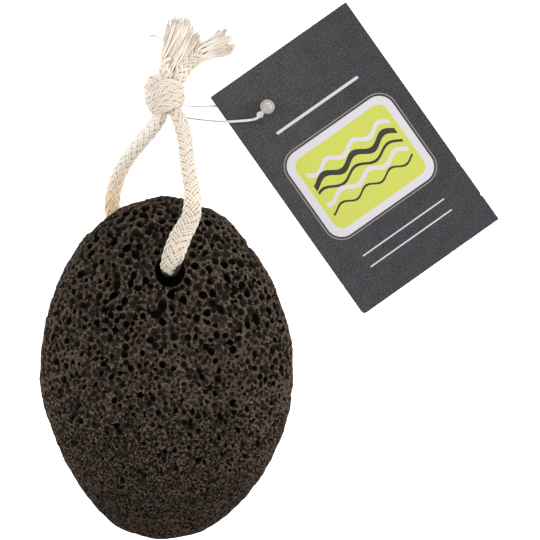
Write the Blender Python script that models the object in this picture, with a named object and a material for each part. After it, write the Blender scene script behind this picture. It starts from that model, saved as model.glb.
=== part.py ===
"""A black pumice stone for rubbing, hung on a loop of soft cotton cord, with a card tag.

The stone is one egg-shaped pebble with a hole drilled through near its narrow end.
The cord runs through the hole, and both of its ends are tied together in one
overhand knot above the stone. A thin plastic loop fastener goes round one strand
below the knot and holds the card tag.

Frame: metres, +Z up. The stone lies on its worn underside on z = 0, its long way
along Y with the drilled end at +Y. The origin is the bottom centre of the stone's
bounding box. All the sizes below are in millimetres.
"""
import math

import bmesh
import bpy
from mathutils import Matrix, Vector

for old in list(bpy.data.objects):
    bpy.data.objects.remove(old, do_unlink=True)

MM = 0.001

# ------------------------------------------------------------------ sizes (mm)
# Stone: radii of the outline seen from above, every 15 degrees from +X.
STONE_RADII = (37.4, 37.6, 38.8, 41.4, 44.6, 49.0, 50.7, 49.3, 46.0, 42.2, 39.4, 37.6,
               37.2, 37.7, 38.7, 41.2, 45.2, 49.3, 50.7, 48.4, 44.9, 41.5, 39.5, 38.2)
STONE_RIM_Z = 17.5          # height of the widest girth
STONE_TOP_RISE = 18.5       # crown above the girth
STONE_BELLY_DROP = 18.3     # belly below the girth, before the worn flat is cut
CROWN_ROUNDNESS = 2.2       # 2 would be an ellipsoid, more is fuller
BELLY_ROUNDNESS = 1.95
STONE_UNDERCUT = 0.24       # how far the underside lifts towards the drilled end
UNDERCUT_FROM, UNDERCUT_TO = -6.0, 30.0
SWELL = 0.5                 # soft unevenness of the crown

HOLE_X, HOLE_Y = 1.4, 28.3   # centre of the upper mouth
HOLE_RADIUS = 4.3
HOLE_TOP_Z = 34.0           # height at which the bore's axis is over that centre
HOLE_TILT_DEG = 15.0        # drilled a little off square: the lower mouth is nearer the end

# Cord
CORD_DIAMETER = 4.8
CORD_GAP = 0.35             # the cord's plain solid stays this far off the stone
CORD_STEP = 4.4             # spacing of the points along the cord
CORD_RUN_Y = 29.1           # where the cord drops down the hole, near its upper wall
TABLE_CORD_Z = 2.45         # the cord's axis where it lies on the table

# Knot
KNOT_CENTRE = (-1.1, 81.3, 5.6)
KNOT_SEMI = (6.1, 6.2, 5.4)
JOIN_GAP = 0.35             # between the knot and the cord's ends

# Card tag
TAG_WIDTH, TAG_LENGTH, TAG_THICKNESS = 50.0, 80.0, 0.45
TAG_CENTRE = (55.95, 62.5)
TAG_TURN_DEG = 35.2
TAG_TILT_DEG = 1.8          # the near edge rides up over the fastener
TAG_CORNER = 0.9
TAG_HOLE_RADIUS = 1.1
TAG_HOLE = (-12.45, 28.05)    # from the tag's centre, across and along

# Loop fastener
LINE_DIAMETER = 0.6
HEAD_RADIUS, HEAD_HEIGHT = 2.15, 1.3
BEAD_RADIUS = 1.05


# ------------------------------------------------------------------ helpers
def material(name, colour, roughness, metallic=0.0):
    mat = bpy.data.materials.new(name)
    mat.use_nodes = True
    shader = mat.node_tree.nodes["Principled BSDF"]
    shader.inputs["Base Color"].default_value = (*colour, 1.0)
    shader.inputs["Roughness"].default_value = roughness
    shader.inputs["Metallic"].default_value = metallic
    return mat


parts = bpy.data.collections.new("pumice_stone")
cutters = bpy.data.collections.new("cutters")
bpy.context.scene.collection.children.link(parts)
bpy.context.scene.collection.children.link(cutters)


def add_object(name, data, mat=None, collection=parts):
    obj = bpy.data.objects.new(name, data)
    collection.objects.link(obj)
    if mat is not None:
        obj.data.materials.append(mat)
    return obj


def mesh_from(bm, name):
    mesh = bpy.data.meshes.new(name)
    bm.to_mesh(mesh)
    bm.free()
    return mesh


def as_cutter(obj):
    obj.hide_render = True
    obj.display_type = "WIRE"
    return obj


def boolean(obj, other, operation):
    mod = obj.modifiers.new(operation.lower(), "BOOLEAN")
    mod.operation = operation
    mod.solver = "EXACT"
    mod.object = other
    return mod


def smoothstep(a, b, value):
    t = min(max((value - a) / (b - a), 0.0), 1.0)
    return t * t * (3.0 - 2.0 * t)


def spline_points(anchors, step):
    """Even points along a smooth curve through the anchors (lists of 3 numbers)."""
    pts = [Vector(p) for p in anchors]
    pts = [2 * pts[0] - pts[1]] + pts + [2 * pts[-1] - pts[-2]]
    fine = []
    for i in range(1, len(pts) - 2):
        p0, p1, p2, p3 = pts[i - 1:i + 3]
        k = [0.0]
        for a, b in ((p0, p1), (p1, p2), (p2, p3)):
            k.append(k[-1] + max((b - a).length, 1e-6) ** 0.5)
        for j in range(24):
            t = k[1] + (k[2] - k[1]) * j / 24
            a1 = p0.lerp(p1, (t - k[0]) / (k[1] - k[0]))
            a2 = p1.lerp(p2, (t - k[1]) / (k[2] - k[1]))
            a3 = p2.lerp(p3, (t - k[2]) / (k[3] - k[2]))
            b1 = a1.lerp(a2, (t - k[0]) / (k[2] - k[0]))
            b2 = a2.lerp(a3, (t - k[1]) / (k[3] - k[1]))
            fine.append(b1.lerp(b2, (t - k[1]) / (k[2] - k[1])))
    fine.append(pts[-2])
    run = [0.0]
    for a, b in zip(fine, fine[1:]):
        run.append(run[-1] + (b - a).length)
    count = max(2, round(run[-1] / step))
    out, j = [], 0
    for i in range(count + 1):
        want = run[-1] * i / count
        while j < len(run) - 2 and run[j + 1] < want:
            j += 1
        span = run[j + 1] - run[j]
        out.append(fine[j].lerp(fine[j + 1], (want - run[j]) / span if span else 0.0))
    return out


def tube(name, points, diameter, mat, sides=2, radii=None):
    curve = bpy.data.curves.new(name, "CURVE")
    curve.dimensions = "3D"
    curve.bevel_depth = diameter / 2 * MM
    curve.bevel_resolution = sides
    curve.use_fill_caps = True
    spline = curve.splines.new("POLY")
    spline.points.add(len(points) - 1)
    for i, p in enumerate(points):
        spline.points[i].co = (p[0] * MM, p[1] * MM, p[2] * MM, 1.0)
        spline.points[i].radius = radii[i] if radii else 1.0
    return add_object(name, curve, mat)


def to_mesh(obj):
    """Turns a curve object into a closed mesh object with the same name and place."""
    bpy.context.view_layer.update()
    evaluated = obj.evaluated_get(bpy.context.evaluated_depsgraph_get())
    mesh = bpy.data.meshes.new_from_object(evaluated)
    bm = bmesh.new()
    bm.from_mesh(mesh)
    bmesh.ops.remove_doubles(bm, verts=bm.verts, dist=1e-6)
    bmesh.ops.recalc_face_normals(bm, faces=bm.faces)
    bm.to_mesh(mesh)
    bm.free()
    name, place, curve = obj.name, obj.matrix_world.copy(), obj.data
    bpy.data.objects.remove(obj, do_unlink=True)
    bpy.data.curves.remove(curve)
    new = bpy.data.objects.new(name, mesh)
    new.matrix_world = place
    parts.objects.link(new)
    return new


# ------------------------------------------------------------------ materials
stone_mat = material("stone", (0.030, 0.024, 0.020), 0.9)
cord_mat = material("cotton", (0.83, 0.74, 0.64), 0.85)
card_mat = material("card", (0.082, 0.078, 0.082), 0.6)
clear_mat = material("clear_plastic", (0.82, 0.81, 0.78), 0.25)


# ------------------------------------------------------------------ stone shape
def plan_radius(angle):
    """Outline radius at an angle, by a smooth curve through STONE_RADII."""
    n = len(STONE_RADII)
    t = (angle / (2 * math.pi) % 1.0) * n
    i = int(t) % n
    t -= int(t)
    r0, r1, r2, r3 = (STONE_RADII[(i + k) % n] for k in (-1, 0, 1, 2))
    return 0.5 * (2 * r1 + (r2 - r0) * t + (2 * r0 - 5 * r1 + 4 * r2 - r3) * t * t
                  + (3 * r1 - r0 - 3 * r2 + r3) * t ** 3)


def swell(x, y):
    return SWELL * (math.sin(x / 11.0 + 0.7) * math.sin(y / 14.0 + 0.4)
                    + 0.5 * math.sin(x / 6.5 + y / 8.0 + 2.0))


def stone_height(x, y, side):
    """z of the crown (side = +1) or of the underside (side = -1) over a plan point."""
    reach = min(math.hypot(x, y) / plan_radius(math.atan2(y, x)), 1.0)
    roundness = CROWN_ROUNDNESS if side > 0 else BELLY_ROUNDNESS
    lift = (1.0 - reach ** roundness) ** (1.0 / roundness)
    if side > 0:
        return STONE_RIM_Z + (STONE_TOP_RISE + swell(x, y)) * lift
    undercut = STONE_UNDERCUT * smoothstep(UNDERCUT_FROM, UNDERCUT_TO, y)
    return STONE_RIM_Z - STONE_BELLY_DROP * lift * (1.0 - undercut)


def stone_point(d):
    """Moves a point of the unit sphere on to the stone."""
    flat, up = math.hypot(d.x, d.y), abs(d.z)
    roundness = CROWN_ROUNDNESS if d.z > 0 else BELLY_ROUNDNESS
    k = (flat ** roundness + up ** roundness) ** (-1.0 / roundness)
    angle = math.atan2(d.y, d.x)
    r = flat * k * plan_radius(angle)
    x, y = r * math.cos(angle), r * math.sin(angle)
    if up * k < 1e-6:
        return Vector((x, y, STONE_RIM_Z))
    return Vector((x, y, stone_height(x, y, 1 if d.z > 0 else -1)))


bm = bmesh.new()
bmesh.ops.create_icosphere(bm, subdivisions=5, radius=1.0)
for v in bm.verts:
    v.co = stone_point(v.co) * MM
# The belly is worn flat where the stone rests.
cut = bmesh.ops.bisect_plane(bm, geom=bm.verts[:] + bm.edges[:] + bm.faces[:], dist=1e-7,
                             plane_co=(0, 0, 0), plane_no=(0, 0, 1), clear_inner=True)
rim = [e for e in cut["geom_cut"] if isinstance(e, bmesh.types.BMEdge)]
bmesh.ops.contextual_create(bm, geom=rim)
bmesh.ops.recalc_face_normals(bm, faces=bm.faces)
# The origin is the bottom centre of the stone's box.
low = Vector((min(v.co[i] for v in bm.verts) for i in range(3)))
high = Vector((max(v.co[i] for v in bm.verts) for i in range(3)))
centre = (low + high) / 2
bmesh.ops.translate(bm, verts=bm.verts, vec=(-centre.x, -centre.y, -low.z))
stone = add_object("stone", mesh_from(bm, "stone"), stone_mat)
stone.data.shade_smooth()

bm = bmesh.new()
bmesh.ops.create_cone(bm, cap_ends=True, segments=32, radius1=HOLE_RADIUS * MM,
                      radius2=HOLE_RADIUS * MM, depth=60 * MM)
drill = as_cutter(add_object("drill", mesh_from(bm, "drill"), collection=cutters))
drill_lean = math.radians(HOLE_TILT_DEG)
drill.location = (HOLE_X * MM, (HOLE_Y + (HOLE_TOP_Z - 20) * math.tan(drill_lean)) * MM, 20 * MM)
drill.rotation_euler.x = drill_lean
boolean(stone, drill, "DIFFERENCE")


# ------------------------------------------------------------------ cord route
def over_stone(x, y):
    """Cord axis lying on the crown at a plan point."""
    step = 0.5
    here = stone_height(x, y, 1)
    slope_x = (stone_height(x + step, y, 1) - stone_height(x - step, y, 1)) / (2 * step)
    slope_y = (stone_height(x, y + step, 1) - stone_height(x, y - step, 1)) / (2 * step)
    normal = Vector((-slope_x, -slope_y, 1.0)).normalized()
    return Vector((x, y, here)) + normal * (CORD_DIAMETER / 2 + CORD_GAP)


mouth = stone_height(HOLE_X, HOLE_Y + HOLE_RADIUS, 1)
bend = 4.6                  # radius of the turn over the rim of the hole
front_route = [
    (2.0, 76.2, 7.0), (3.6, 73.2, 8.2), (5.0, 68.4, 10.8), (5.8, 62.6, 15.3),
    (6.5, 57.7, 19.6), (7.5, 53.4, 23.6), (7.9, 49.3, 26.9),
    over_stone(7.2, 42.6), over_stone(5.6, 38.2),
    (3.3, CORD_RUN_Y + bend * 1.05, mouth + 2.9),
    (2.0, CORD_RUN_Y + bend * 0.45, mouth + 2.0),
    (1.5, CORD_RUN_Y + bend * 0.10, mouth - 0.8),
    (1.4, CORD_RUN_Y - 0.1, mouth - 4.2),
    (1.4, CORD_RUN_Y + 0.9, mouth - 8.0),
    (1.4, CORD_RUN_Y + 2.9, 17.2),
]
back_route = [
    (1.4, CORD_RUN_Y + 4.7, 12.6), (1.0, CORD_RUN_Y + 6.0, 8.4),
    (-0.6, CORD_RUN_Y + 6.9, 5.0), (-3.2, CORD_RUN_Y + 7.6, 3.0),
    (-6.5, 37.6, TABLE_CORD_Z), (-11.2, 39.0, TABLE_CORD_Z), (-15.0, 41.9, TABLE_CORD_Z),
    (-16.9, 46.3, TABLE_CORD_Z), (-16.9, 50.8, TABLE_CORD_Z), (-15.3, 56.6, TABLE_CORD_Z),
    (-12.6, 62.0, TABLE_CORD_Z), (-9.2, 66.4, TABLE_CORD_Z + 0.2), (-5.6, 70.6, 3.2),
    (-3.4, 73.6, 4.1), (-2.0, 76.0, 4.9),
]


def outside_knot(p, gap):
    q = [(p[i] - KNOT_CENTRE[i]) / (KNOT_SEMI[i] + gap) for i in range(3)]
    return q[0] ** 2 + q[1] ** 2 + q[2] ** 2 > 1.0


def trim_at_knot(points, gap=JOIN_GAP, steps=40):
    """Cuts the start of a run back to where its axis leaves the knot's surface and the gap."""
    points = [Vector(p) for p in points]
    while len(points) > 2 and not outside_knot(points[1], gap):
        points.pop(0)
    a, b = points[0], points[1]
    for i in range(steps + 1):
        points[0] = a.lerp(b, i / steps)
        if outside_knot(points[0], gap):
            break
    return points


loop = spline_points(front_route + back_route, CORD_STEP)
loop = trim_at_knot(loop)
loop = trim_at_knot(loop[::-1])[::-1]
tube("cord_loop", loop, CORD_DIAMETER, cord_mat, sides=2)

# Knot: both strands pulled tight together, as one rounded lump.
bm = bmesh.new()
bmesh.ops.create_icosphere(bm, subdivisions=4, radius=1.0)
for v in bm.verts:
    ripple = 1.0 - 0.035 * (1.0 + math.sin(7.0 * v.co.x + 6.0 * v.co.y) * math.cos(4.0 * v.co.z))
    v.co = Vector([(KNOT_CENTRE[i] + KNOT_SEMI[i] * v.co[i] * ripple) * MM for i in range(3)])
knot = add_object("cord_knot", mesh_from(bm, "cord_knot"), cord_mat)
knot.data.shade_smooth()

# Tails: each end leaves the knot and opens out where the braid comes apart.
tail_up = spline_points([(-0.9, 84.4, 6.6), (-0.5, 88.3, 5.4), (0.1, 92.2, 4.2),
                         (1.5, 96.6, 3.9), (3.6, 101.0, 4.1)], 2.6)
tail_side = spline_points([(2.8, 84.4, 6.0), (4.8, 88.0, 5.2), (7.6, 91.8, 4.2),
                           (10.9, 94.6, 3.5), (15.0, 96.9, 3.6)], 2.6)


def opened(points, braided, end):
    """Radius factors: plain to the share 'braided' of the run, then opening to 'end'."""
    n = len(points) - 1
    return [1.0 + (end - 1.0) * smoothstep(braided, 1.0, i / n) for i in range(n + 1)]


for name, run, braided, end in (("cord_tail_up", tail_up, 0.45, 1.55),
                                ("cord_tail_side", tail_side, 0.6, 1.35)):
    run = trim_at_knot(run)
    tube(name, run, CORD_DIAMETER * 0.86, cord_mat, sides=2, radii=opened(run, braided, end))

# ------------------------------------------------------------------ card tag
tag_place = (Matrix.Translation((TAG_CENTRE[0] * MM, TAG_CENTRE[1] * MM, 0))
             @ Matrix.Rotation(math.radians(TAG_TURN_DEG), 4, "Z")
             @ Matrix.Rotation(math.radians(TAG_TILT_DEG), 4, "Y"))
tag_rise = 0.1 + TAG_WIDTH / 2 * math.sin(math.radians(TAG_TILT_DEG)) + TAG_THICKNESS / 2
tag_place = Matrix.Translation((0, 0, tag_rise * MM)) @ tag_place

bm = bmesh.new()
bmesh.ops.create_cube(bm, size=1.0)
bmesh.ops.scale(bm, verts=bm.verts, vec=(TAG_WIDTH * MM, TAG_LENGTH * MM, TAG_THICKNESS * MM))
upright = [e for e in bm.edges if abs(e.verts[0].co.z - e.verts[1].co.z) > TAG_THICKNESS * MM / 2]
bmesh.ops.bevel(bm, geom=upright, offset=TAG_CORNER * MM, segments=3, profile=0.5, affect="EDGES")
tag = add_object("tag", mesh_from(bm, "tag"), card_mat)
tag.matrix_world = tag_place

bm = bmesh.new()
bmesh.ops.create_cone(bm, cap_ends=True, segments=20, radius1=TAG_HOLE_RADIUS * MM,
                      radius2=TAG_HOLE_RADIUS * MM, depth=6 * MM)
punch = as_cutter(add_object("tag_punch", mesh_from(bm, "tag_punch"), collection=cutters))
punch.matrix_world = tag_place @ Matrix.Translation((TAG_HOLE[0] * MM, TAG_HOLE[1] * MM, 0))
boolean(tag, punch, "DIFFERENCE")

# ------------------------------------------------------------------ fastener
hole_under = tag_place @ Vector((TAG_HOLE[0] * MM, TAG_HOLE[1] * MM, -TAG_THICKNESS / 2 * MM))
hx, hy, under_z = hole_under.x / MM, hole_under.y / MM, hole_under.z / MM
head_low = under_z + TAG_THICKNESS + 0.3
head_z = head_low + HEAD_HEIGHT / 2
bead = Vector((hx - 2.1, hy - 2.55, head_z + 0.35))
toward = (bead - Vector((hx, hy, head_z))).normalized()
# Out over the card, behind the strand, up between the two strands, over the strand
# just under the knot, and back under the card to its hole.
line = [
    Vector((hx, hy, head_z)) + toward * 1.1, bead, (24.4, 73.9, 3.5),
    (21.0, 73.6, 3.3), (17.0, 73.5, 3.1), (12.6, 73.6, 2.7), (9.0, 73.4, 2.3), (6.0, 72.9, 2.3),
    (3.2, 72.6, 3.6), (0.9, 72.6, 5.9), (0.2, 73.0, 8.6), (0.8, 73.8, 10.7), (2.4, 74.5, 11.8),
    (4.5, 75.2, 11.6), (6.3, 76.2, 9.9), (7.8, 77.1, 7.2), (9.3, 77.7, 4.2), (11.4, 78.0, 1.7),
    (13.8, 78.2, 0.7), (17.0, 78.3, 0.5), (22.0, 78.3, 0.5), (hx - 2.6, hy, 0.5), (hx - 0.9, hy, 0.55),
    (hx, hy, under_z + 0.2), (hx, hy, head_low + 0.35),
]
fastener = to_mesh(tube("tag_fastener", spline_points(line, 1.5), LINE_DIAMETER, clear_mat, sides=2))

bm = bmesh.new()
bmesh.ops.create_cone(bm, cap_ends=True, segments=24, radius1=HEAD_RADIUS * MM,
                      radius2=HEAD_RADIUS * MM * 0.94, depth=HEAD_HEIGHT * MM)
head = as_cutter(add_object("fastener_head", mesh_from(bm, "fastener_head"), collection=cutters))
head.location = (hx * MM, hy * MM, head_z * MM)
boolean(fastener, head, "UNION")

bm = bmesh.new()
bmesh.ops.create_icosphere(bm, subdivisions=2, radius=BEAD_RADIUS * MM)
bulb = as_cutter(add_object("fastener_bead", mesh_from(bm, "fastener_bead"), collection=cutters))
bulb.location = bead * MM
boolean(fastener, bulb, "UNION")
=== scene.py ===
import math

import bpy
import numpy as np
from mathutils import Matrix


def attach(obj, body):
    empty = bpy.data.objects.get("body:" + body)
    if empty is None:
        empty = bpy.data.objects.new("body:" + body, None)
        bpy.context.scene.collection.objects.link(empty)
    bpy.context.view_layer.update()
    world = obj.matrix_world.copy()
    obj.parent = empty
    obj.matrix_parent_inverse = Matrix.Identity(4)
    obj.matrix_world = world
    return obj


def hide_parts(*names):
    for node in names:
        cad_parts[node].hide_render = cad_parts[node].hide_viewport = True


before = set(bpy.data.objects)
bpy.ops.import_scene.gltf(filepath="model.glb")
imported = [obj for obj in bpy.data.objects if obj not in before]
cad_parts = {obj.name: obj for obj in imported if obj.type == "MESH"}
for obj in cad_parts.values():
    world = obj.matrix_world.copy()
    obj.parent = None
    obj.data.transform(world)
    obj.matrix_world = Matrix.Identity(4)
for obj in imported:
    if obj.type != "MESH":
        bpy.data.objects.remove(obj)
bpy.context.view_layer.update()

import openvdb
from mathutils import Vector

# The looks of a pumice stone on a braided cotton cord, with its card tag.
# Lengths below are millimetres; meshes are scaled to metres when they are made.
MM = 0.001
TAU = 2.0 * math.pi
scene = bpy.context.scene
collection = bpy.data.collections.new("Pumice_looks")
scene.collection.children.link(collection)


def link(name, data):
    obj = bpy.data.objects.new(name, data)
    collection.objects.link(obj)
    return obj


# ------------------------------------------------------------------ camera and light
camera = bpy.data.cameras.new("Camera")
camera.sensor_width = 36.0
camera.lens = 199.0
camera.clip_start = 0.05
camera.clip_end = 20.0
camera_ob = link("Camera", camera)
camera_ob.location = (0.03046, 0.02884, 0.9)
scene.camera = camera_ob

scene.view_settings.view_transform = "Standard"
scene.view_settings.look = "None"
scene.view_settings.exposure = 0.0
scene.view_settings.gamma = 1.0

world = bpy.data.worlds.new("Studio")
scene.world = world
world.use_nodes = True
sky = world.node_tree.nodes["Background"]
sky.inputs[0].default_value = (1.0, 0.995, 0.985, 1.0)
sky.inputs[1].default_value = 0.72


def soft_light(name, place, aim, size, power, colour=(1.0, 1.0, 1.0)):
    data = bpy.data.lights.new(name, "AREA")
    data.shape = "SQUARE"
    data.size = size
    data.energy = power
    data.color = colour
    obj = link(name, data)
    obj.location = place
    obj.rotation_euler = (Vector(aim) - Vector(place)).to_track_quat("-Z", "Y").to_euler()
    return obj


MIDDLE = (0.03, 0.03, 0.0)
soft_light("Key_softbox", (1.22, 0.20, 0.72), MIDDLE, 0.40, 11.6, (1.0, 0.985, 0.96))
soft_light("Fill_softbox", (-1.0, 0.35, 0.95), MIDDLE, 1.0, 8.8, (0.99, 0.99, 1.0))
soft_light("Near_softbox", (0.1, -1.05, 0.95), MIDDLE, 1.0, 4.0)


# ------------------------------------------------------------------ shader helpers
class Net:
    """A material's node tree, written as expressions."""

    def __init__(self, name):
        self.mat = bpy.data.materials.new(name)
        self.mat.use_nodes = True
        self.tree = self.mat.node_tree
        self.tree.nodes.clear()
        self.out = self.tree.nodes.new("ShaderNodeOutputMaterial")
        self.bsdf = self.tree.nodes.new("ShaderNodeBsdfPrincipled")
        self.tree.links.new(self.bsdf.outputs[0], self.out.inputs[0])

    def put(self, socket, value):
        if isinstance(value, bpy.types.NodeSocket):
            self.tree.links.new(value, socket)
        elif value is not None:
            socket.default_value = value

    def set(self, **values):
        names = {"color": "Base Color", "rough": "Roughness", "normal": "Normal",
                 "spec": "Specular IOR Level", "sheen": "Sheen Weight", "ior": "IOR",
                 "sheen_rough": "Sheen Roughness", "sss": "Subsurface Weight",
                 "sss_scale": "Subsurface Scale", "glass": "Transmission Weight"}
        for key, value in values.items():
            self.put(self.bsdf.inputs[names[key]], value)

    def math(self, op, a, b=None, c=None, clamp=False):
        n = self.tree.nodes.new("ShaderNodeMath")
        n.operation = op
        n.use_clamp = clamp
        for i, v in enumerate((a, b, c)):
            self.put(n.inputs[i], v)
        return n.outputs[0]

    def step(self, value, low, high):
        """Smooth 0 to 1 as value goes from low to high (or high to low)."""
        n = self.tree.nodes.new("ShaderNodeMapRange")
        n.interpolation_type = "SMOOTHSTEP"
        for i, v in enumerate((value, low, high, 0.0, 1.0)):
            self.put(n.inputs[i], v)
        return n.outputs[0]

    def mix(self, fac, a, b, blend="MIX"):
        n = self.tree.nodes.new("ShaderNodeMix")
        n.data_type = "RGBA"
        n.blend_type = blend
        self.put(n.inputs[0], fac)
        for i, v in ((6, a), (7, b)):
            self.put(n.inputs[i], (*v, 1.0) if isinstance(v, tuple) and len(v) == 3 else v)
        return n.outputs[2]

    def place(self):
        """Position in millimetres in the object's own frame."""
        t = self.tree.nodes.new("ShaderNodeTexCoord")
        return self.scaled(t.outputs["Object"], (1000.0, 1000.0, 1000.0))

    def scaled(self, vector, by):
        n = self.tree.nodes.new("ShaderNodeVectorMath")
        n.operation = "MULTIPLY"
        self.put(n.inputs[0], vector)
        n.inputs[1].default_value = by
        return n.outputs[0]

    def uv(self, name):
        n = self.tree.nodes.new("ShaderNodeUVMap")
        n.uv_map = name
        return n.outputs[0]

    def attribute(self, name, what="Fac"):
        n = self.tree.nodes.new("ShaderNodeAttribute")
        n.attribute_name = name
        return n.outputs[what]

    def xyz(self, vector):
        n = self.tree.nodes.new("ShaderNodeSeparateXYZ")
        self.put(n.inputs[0], vector)
        return n.outputs[0], n.outputs[1], n.outputs[2]

    def vec(self, x, y, z=0.0):
        n = self.tree.nodes.new("ShaderNodeCombineXYZ")
        for i, v in enumerate((x, y, z)):
            self.put(n.inputs[i], v)
        return n.outputs[0]

    def noise(self, vector, scale, detail=2.0, rough=0.5, distort=0.0, what=0):
        n = self.tree.nodes.new("ShaderNodeTexNoise")
        self.put(n.inputs["Vector"], vector)
        n.inputs["Scale"].default_value = scale
        n.inputs["Detail"].default_value = detail
        n.inputs["Roughness"].default_value = rough
        n.inputs["Distortion"].default_value = distort
        return n.outputs[what]

    def turned(self, vector, angles):
        n = self.tree.nodes.new("ShaderNodeVectorRotate")
        n.rotation_type = "EULER_XYZ"
        self.put(n.inputs["Vector"], vector)
        n.inputs["Rotation"].default_value = angles
        return n.outputs[0]

    def cells(self, vector, scale, feature="F1", random=1.0, what="Distance"):
        n = self.tree.nodes.new("ShaderNodeTexVoronoi")
        n.feature = feature
        self.put(n.inputs["Vector"], vector)
        n.inputs["Scale"].default_value = scale
        n.inputs["Randomness"].default_value = random
        return n.outputs[what]

    def bump(self, height, distance, strength=1.0, normal=None):
        n = self.tree.nodes.new("ShaderNodeBump")
        n.inputs["Strength"].default_value = strength
        n.inputs["Distance"].default_value = distance * MM
        self.put(n.inputs["Height"], height)
        if normal is not None:
            self.put(n.inputs["Normal"], normal)
        return n.outputs[0]


# ------------------------------------------------------------------ mesh helpers
def build_mesh(name, points, quads=None, triangles=None, smooth=True):
    """A mesh from arrays: points in millimetres, quads (n, 4) and triangles (n, 3)."""
    quads = np.zeros((0, 4), np.int32) if quads is None else np.asarray(quads, np.int32)
    triangles = np.zeros((0, 3), np.int32) if triangles is None else np.asarray(triangles, np.int32)
    mesh = bpy.data.meshes.new(name)
    points = np.asarray(points, np.float64) * MM
    mesh.vertices.add(len(points))
    mesh.vertices.foreach_set("co", points.astype(np.float32).ravel())
    corner = np.concatenate([quads.ravel(), triangles.ravel()]).astype(np.int32)
    mesh.loops.add(len(corner))
    mesh.loops.foreach_set("vertex_index", corner)
    mesh.polygons.add(len(quads) + len(triangles))
    start = np.concatenate([np.arange(len(quads)) * 4,
                            len(quads) * 4 + np.arange(len(triangles)) * 3]).astype(np.int32)
    mesh.polygons.foreach_set("loop_start", start)
    mesh.update(calc_edges=True)
    mesh.validate()
    if smooth:
        mesh.shade_smooth()
    return mesh


def vertex_values(mesh, name, values):
    layer = mesh.attributes.new(name, "FLOAT", "POINT")
    layer.data.foreach_set("value", np.asarray(values, np.float32).ravel())


def smooth(low, high, value):
    t = np.clip((value - low) / (high - low), 0.0, 1.0)
    return t * t * (3.0 - 2.0 * t)


def unit(v):
    return v / np.maximum(np.linalg.norm(v, axis=-1, keepdims=True), 1e-12)


def spline(anchors, step):
    """Even points along a centripetal Catmull-Rom curve through the anchors.
    Each anchor may carry more numbers than its place; they follow along."""
    pts = np.array(anchors, float)
    pts = np.vstack([2 * pts[0] - pts[1], pts, 2 * pts[-1] - pts[-2]])
    fine = []
    for i in range(1, len(pts) - 2):
        p0, p1, p2, p3 = pts[i - 1:i + 3]
        t1 = max(np.linalg.norm((p1 - p0)[:3]), 1e-6) ** 0.5
        t2 = t1 + max(np.linalg.norm((p2 - p1)[:3]), 1e-6) ** 0.5
        t3 = t2 + max(np.linalg.norm((p3 - p2)[:3]), 1e-6) ** 0.5
        t = (t1 + (t2 - t1) * np.linspace(0, 1, 24, endpoint=False))[:, None]
        a1 = (t1 - t) / t1 * p0 + t / t1 * p1
        a2 = (t2 - t) / (t2 - t1) * p1 + (t - t1) / (t2 - t1) * p2
        a3 = (t3 - t) / (t3 - t2) * p2 + (t - t2) / (t3 - t2) * p3
        b1 = (t2 - t) / t2 * a1 + t / t2 * a2
        b2 = (t3 - t) / (t3 - t1) * a2 + (t - t1) / (t3 - t1) * a3
        fine.append((t2 - t) / (t2 - t1) * b1 + (t - t1) / (t2 - t1) * b2)
    fine = np.vstack(fine + [pts[-2:-1]])
    along = np.concatenate([[0], np.cumsum(np.linalg.norm(np.diff(fine[:, :3], axis=0), axis=1))])
    count = max(int(round(along[-1] / step)), 2)
    even = np.linspace(0, along[-1], count + 1)
    return np.stack([np.interp(even, along, fine[:, k]) for k in range(fine.shape[1])], axis=1)


def carried_frame(points):
    """Tangents and a normal carried along without twist."""
    tangent = unit(np.gradient(points, axis=0))
    normal = np.zeros_like(points)
    seed = np.array([0.0, 0.0, 1.0]) if abs(tangent[0, 2]) < 0.9 else np.array([1.0, 0.0, 0.0])
    normal[0] = unit(seed - tangent[0] * seed.dot(tangent[0]))
    for i in range(1, len(points)):
        v1 = points[i] - points[i - 1]
        c1 = v1.dot(v1)
        n = normal[i - 1] - 2.0 / c1 * v1.dot(normal[i - 1]) * v1
        t = tangent[i - 1] - 2.0 / c1 * v1.dot(tangent[i - 1]) * v1
        v2 = tangent[i] - t
        c2 = max(v2.dot(v2), 1e-12)
        n = n - 2.0 / c2 * v2.dot(n) * v2
        normal[i] = unit(n - tangent[i] * n.dot(tangent[i]))
    return tangent, normal


def tube_batch(paths, outward, across, deep, sides):
    """Many tubes with the same number of rings: paths (m, n, 3), outward normals,
    half width and half thickness (m, n). Returns points, quads and end-cap triangles."""
    m, n = paths.shape[:2]
    tangent = unit(np.gradient(paths, axis=1))
    side = unit(np.cross(tangent, outward))
    up = np.cross(side, tangent)
    angle = np.arange(sides) * TAU / sides
    ring = (paths[:, :, None, :]
            + across[:, :, None, None] * np.cos(angle)[None, None, :, None] * side[:, :, None, :]
            + deep[:, :, None, None] * np.sin(angle)[None, None, :, None] * up[:, :, None, :])
    points = ring.reshape(-1, 3)
    base = (np.arange(m)[:, None, None] * n * sides + np.arange(n - 1)[None, :, None] * sides)
    k = np.arange(sides)[None, None, :]
    k1 = (k + 1) % sides
    quads = np.stack([base + k, base + k1, base + sides + k1, base + sides + k], axis=-1).reshape(-1, 4)
    ends = np.concatenate([paths[:, 0], paths[:, -1]])
    first = len(points) + np.arange(m)
    last = first + m
    start = (np.arange(m) * n * sides)[:, None]
    stop = start + (n - 1) * sides
    k = np.arange(sides)[None, :]
    k1 = (k + 1) % sides
    caps = np.concatenate([
        np.stack([np.broadcast_to(first[:, None], (m, sides)), start + k1, start + k], axis=-1).reshape(-1, 3),
        np.stack([np.broadcast_to(last[:, None], (m, sides)), stop + k, stop + k1], axis=-1).reshape(-1, 3)])
    points = np.vstack([points, ends])
    return points, quads, caps


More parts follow.
